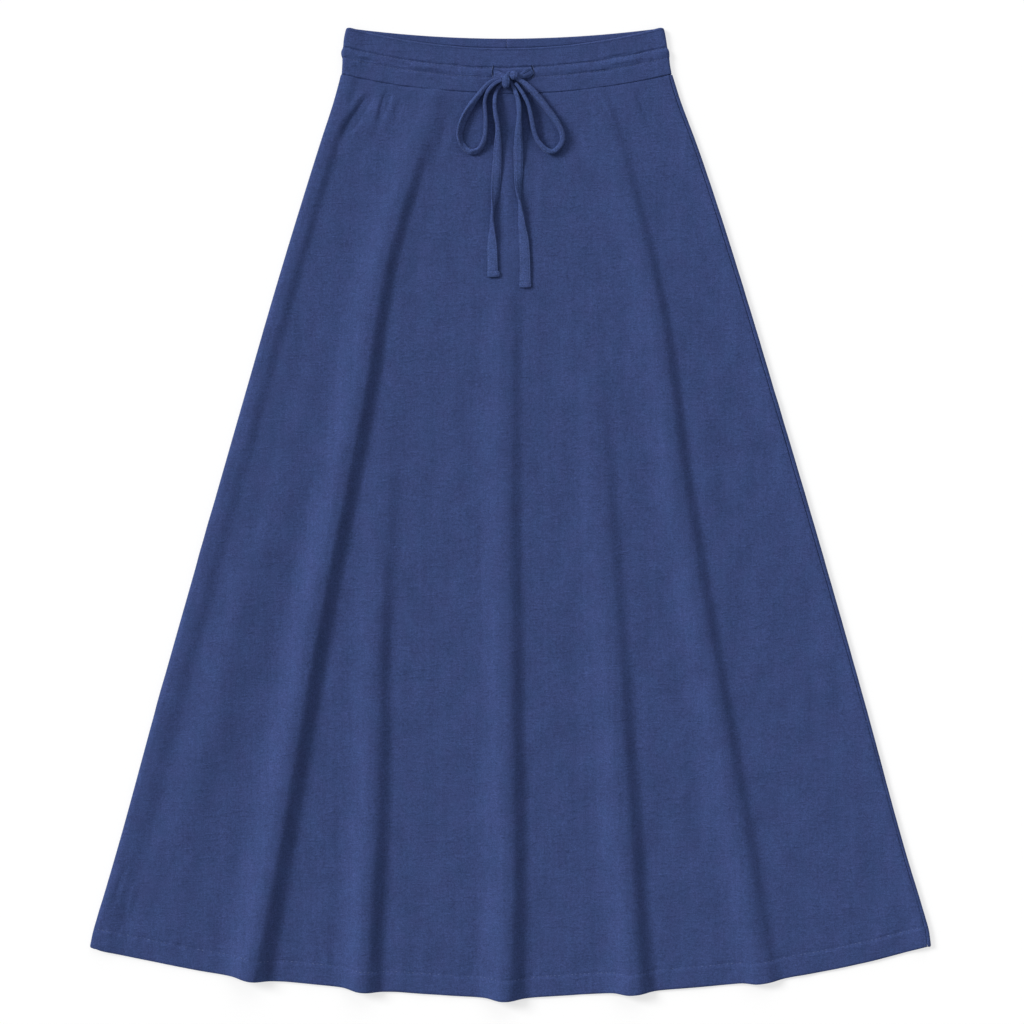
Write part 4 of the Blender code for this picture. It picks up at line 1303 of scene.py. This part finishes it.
# A layer of the cloth's tone: stretched noise whose range low to high gives darkest to lightest.
Layer = namedtuple("Layer", "stretch detail low high darkest lightest")
WEAVE_LAYERS = [
    Layer((950, 950, 500), 2, 0.3, 0.7, 0.72, 1.28),  # fine heathered grain
    Layer((430, 430, 300), 2, 0.3, 0.7, 0.9, 1.1),  # coarser grain
    Layer((900, 70, 300), 2, 0.3, 0.7, 0.95, 1.05),  # upright threads
    Layer((70, 900, 300), 2, 0.3, 0.7, 0.94, 1.06),  # level threads
    Layer((75, 620, 200), 3, 0.6, 0.78, 1.0, 1.16),  # light slubs
    Layer((60, 540, 220), 3, 0.61, 0.8, 1.0, 0.87),  # dark slubs
    Layer((46, 34, 30), 5, 0.3, 0.7, 0.93, 1.07),  # soft patches
    Layer((240, 8, 60), 2, 0.3, 0.7, 0.96, 1.04),  # faint upright streaks
]
TAPE_GRAIN = Layer((760, 760, 400), 0, 0.3, 0.7, 0.86, 1.14)
SKIRT_NAP = 0.4
TAPE_NAP = 0.2
HUE_STRETCH = (52, 40, 40)
VIOLET_CAST = (1.045, 0.99, 1.005)
TEAL_CAST = (0.955, 1.015, 1.0)


def cloth_material(name, tone, layers, nap):
    """Heathered matt cloth: threads both ways, short slubs, soft mottling, a faint nap."""
    material, tree, shader = new_material(name)
    place = tree.nodes.new("ShaderNodeTexCoord").outputs["Object"]
    value = None
    noises = []
    for layer in layers:
        noise = stretched_noise(tree, place, layer.stretch, layer.detail)
        noises.append(noise)
        part = scaled(tree, noise, layer.low, layer.high, layer.darkest, layer.lightest)
        value = part if value is None else multiplied(tree, value, part)
    cast = tree.nodes.new("ShaderNodeMix")
    cast.data_type = "VECTOR"
    hue = stretched_noise(tree, place, HUE_STRETCH, 4)
    tree.links.new(scaled(tree, hue, 0.32, 0.68, 0.0, 1.0), cast.inputs["Factor"])
    cast.inputs[4].default_value = [t * c for t, c in zip(tone, VIOLET_CAST)]
    cast.inputs[5].default_value = [t * c for t, c in zip(tone, TEAL_CAST)]
    colour = tree.nodes.new("ShaderNodeVectorMath")
    colour.operation = "SCALE"
    tree.links.new(cast.outputs[1], colour.inputs[0])
    tree.links.new(value, colour.inputs["Scale"])
    tree.links.new(colour.outputs["Vector"], shader.inputs["Base Color"])
    height = multiplied(tree, multiplied(tree, noises[2], noises[3]), noises[0])
    bump = node(tree, "ShaderNodeBump", Strength=0.45, Distance=0.0005)
    tree.links.new(height, bump.inputs["Height"])
    wrinkles = stretched_noise(tree, place, (70, 230, 120), 2)
    fine_bump = node(tree, "ShaderNodeBump", Strength=0.3, Distance=0.0009)
    tree.links.new(scaled(tree, wrinkles, 0.56, 0.72, 0.0, 1.0), fine_bump.inputs["Height"])
    tree.links.new(bump.outputs["Normal"], fine_bump.inputs["Normal"])
    tree.links.new(fine_bump.outputs["Normal"], shader.inputs["Normal"])
    set_inputs(shader, Roughness=0.92, Specular_IOR_Level=0.1, Sheen_Weight=nap)
    set_inputs(shader, Sheen_Roughness=0.3, Sheen_Tint=NAP_BLUE)
    return material


def thread_material(name, tone):
    material, tree, shader = new_material(name)
    place = tree.nodes.new("ShaderNodeTexCoord").outputs["Object"]
    twist = stretched_noise(tree, place, (2600, 2600, 2600), 2)
    value = scaled(tree, twist, 0.3, 0.7, 0.8, 1.2)
    colour = tree.nodes.new("ShaderNodeVectorMath")
    colour.operation = "SCALE"
    colour.inputs[0].default_value = tone
    tree.links.new(value, colour.inputs["Scale"])
    tree.links.new(colour.outputs["Vector"], shader.inputs["Base Color"])
    set_inputs(shader, Roughness=0.6, Specular_IOR_Level=0.3)
    return material


def floor_material():
    material, _, shader = new_material("pale_floor")
    set_inputs(shader, Base_Color=FLOOR_TONE, Roughness=1.0, Specular_IOR_Level=0.0)
    set_inputs(shader, Emission_Color=(1.0, 1.0, 1.0, 1.0), Emission_Strength=FLOOR_GLOW)
    return material


def set_stage():
    scene = bpy.context.scene
    scene.view_settings.view_transform = "Standard"
    scene.view_settings.look = "None"
    camera_data = bpy.data.cameras.new("camera")
    camera_data.sensor_width = SENSOR
    camera_data.lens = SENSOR * (CAMERA_HEIGHT - FOCUS_HEIGHT) / (PIXELS * PIXEL)
    camera_data.clip_end = 50.0
    camera = bpy.data.objects.new("camera", camera_data)
    camera.location = (CAMERA_X, CAMERA_Y, CAMERA_HEIGHT)
    scene.collection.objects.link(camera)
    scene.camera = camera
    world = bpy.data.worlds.new("soft_studio")
    scene.world = world
    world.use_nodes = True
    background = world.node_tree.nodes["Background"]
    set_inputs(background, Color=(1.0, 1.0, 1.0, 1.0), Strength=FILL_STRENGTH)
    for lamp in LAMPS:
        data = bpy.data.lights.new(lamp.name, "SUN")
        data.energy = lamp.strength
        data.angle = math.radians(lamp.spread)
        light = bpy.data.objects.new(lamp.name, data)
        light.rotation_euler = Vector(lamp.towards).to_track_quat("Z", "Y").to_euler()
        scene.collection.objects.link(light)
    half = FLOOR_SIZE / 2
    corners = [(x * half, y * half, FLOOR_HEIGHT) for x, y in ((-1, -1), (1, -1), (1, 1), (-1, 1))]
    floor = mesh_object("floor", corners, [(0, 1, 2, 3)])
    floor.data.materials.append(floor_material())


def dress(item, material, slot, *nodes):
    item.data.materials.append(material)
    if nodes:
        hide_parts(*nodes)
    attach(item, "root")


def build_drawstring(material, thread):
    knot = build_knot()
    dress(knot, material, "drawstring_cloth", "drawstring_knot")
    made = {}
    for look in TAPES:
        made[look.name] = build_tape(look)
        dress(made[look.name][0], material, "drawstring_cloth", "drawstring_" + look.name)
    stitches = build_stitches("tape_stitches", TAPE_STITCH, 93, tape_stitch_lines(made))
    dress(stitches, thread, "drawstring_cloth")


def hem_stitch_lines(outer, normals, hem_distance):
    """The row of the front's grid that the hem's stitches follow."""
    row = int(np.argmin(np.abs(hem_distance[:, HEM_COLUMN] - HEM_DEPTH)))
    columns = slice(ARC_STEPS + HEM_ENDS, -HEM_ENDS)
    return [(outer[row, columns], normals[row, columns])]


def channel_stitch_lines(outer, normals):
    """The two rows of the band's grid that the channel's stitches follow, across the front."""
    first = BAND_BACK_COLUMNS + ARC_STEPS
    last = first + BAND_FRONT_COLUMNS
    columns = slice(first - CHANNEL_EARLY, last + CHANNEL_LATE)
    rows = [int(np.argmin(np.abs(band_depths() - line.depth))) for line in CHANNEL_LINES]
    return [(outer[row, columns], normals[row, columns]) for row in rows]


def main():
    set_stage()
    cloth = cloth_material("skirt_weave", BLUE, WEAVE_LAYERS, SKIRT_NAP)
    # The tapes take the lighter tone, which is a painted highlight.
    tape = cloth_material("tape_weave", TAPE_BLUE_PAINTED_HIGHLIGHT, [*WEAVE_LAYERS, TAPE_GRAIN], TAPE_NAP)
    thread = thread_material("stitch_thread", THREAD_BLUE)
    rim_thread = thread_material("buttonhole_thread", RIM_BLUE)
    build_drawstring(tape, thread)
    front, *front_grids = build_front()
    dress(front, cloth, "skirt_cloth", "front_panel")
    back = build_back()
    dress(back, cloth, "skirt_cloth", "back_panel")
    band, *band_grids = build_band()
    dress(band, cloth, "waistband_cloth", "waistband")
    hem_stitches = build_stitches("hem_stitches", HEM_STITCH, 91, hem_stitch_lines(*front_grids))
    dress(hem_stitches, thread, "skirt_cloth")
    lines = channel_stitch_lines(*band_grids)
    channel_stitches = build_stitches("channel_stitches", CHANNEL_STITCH, 92, lines)
    dress(channel_stitches, thread, "waistband_cloth")
    rims = build_stitches("buttonhole_stitches", RIM_STITCH, 94, slit_rims())
    dress(rims, rim_thread, "waistband_cloth")


main()
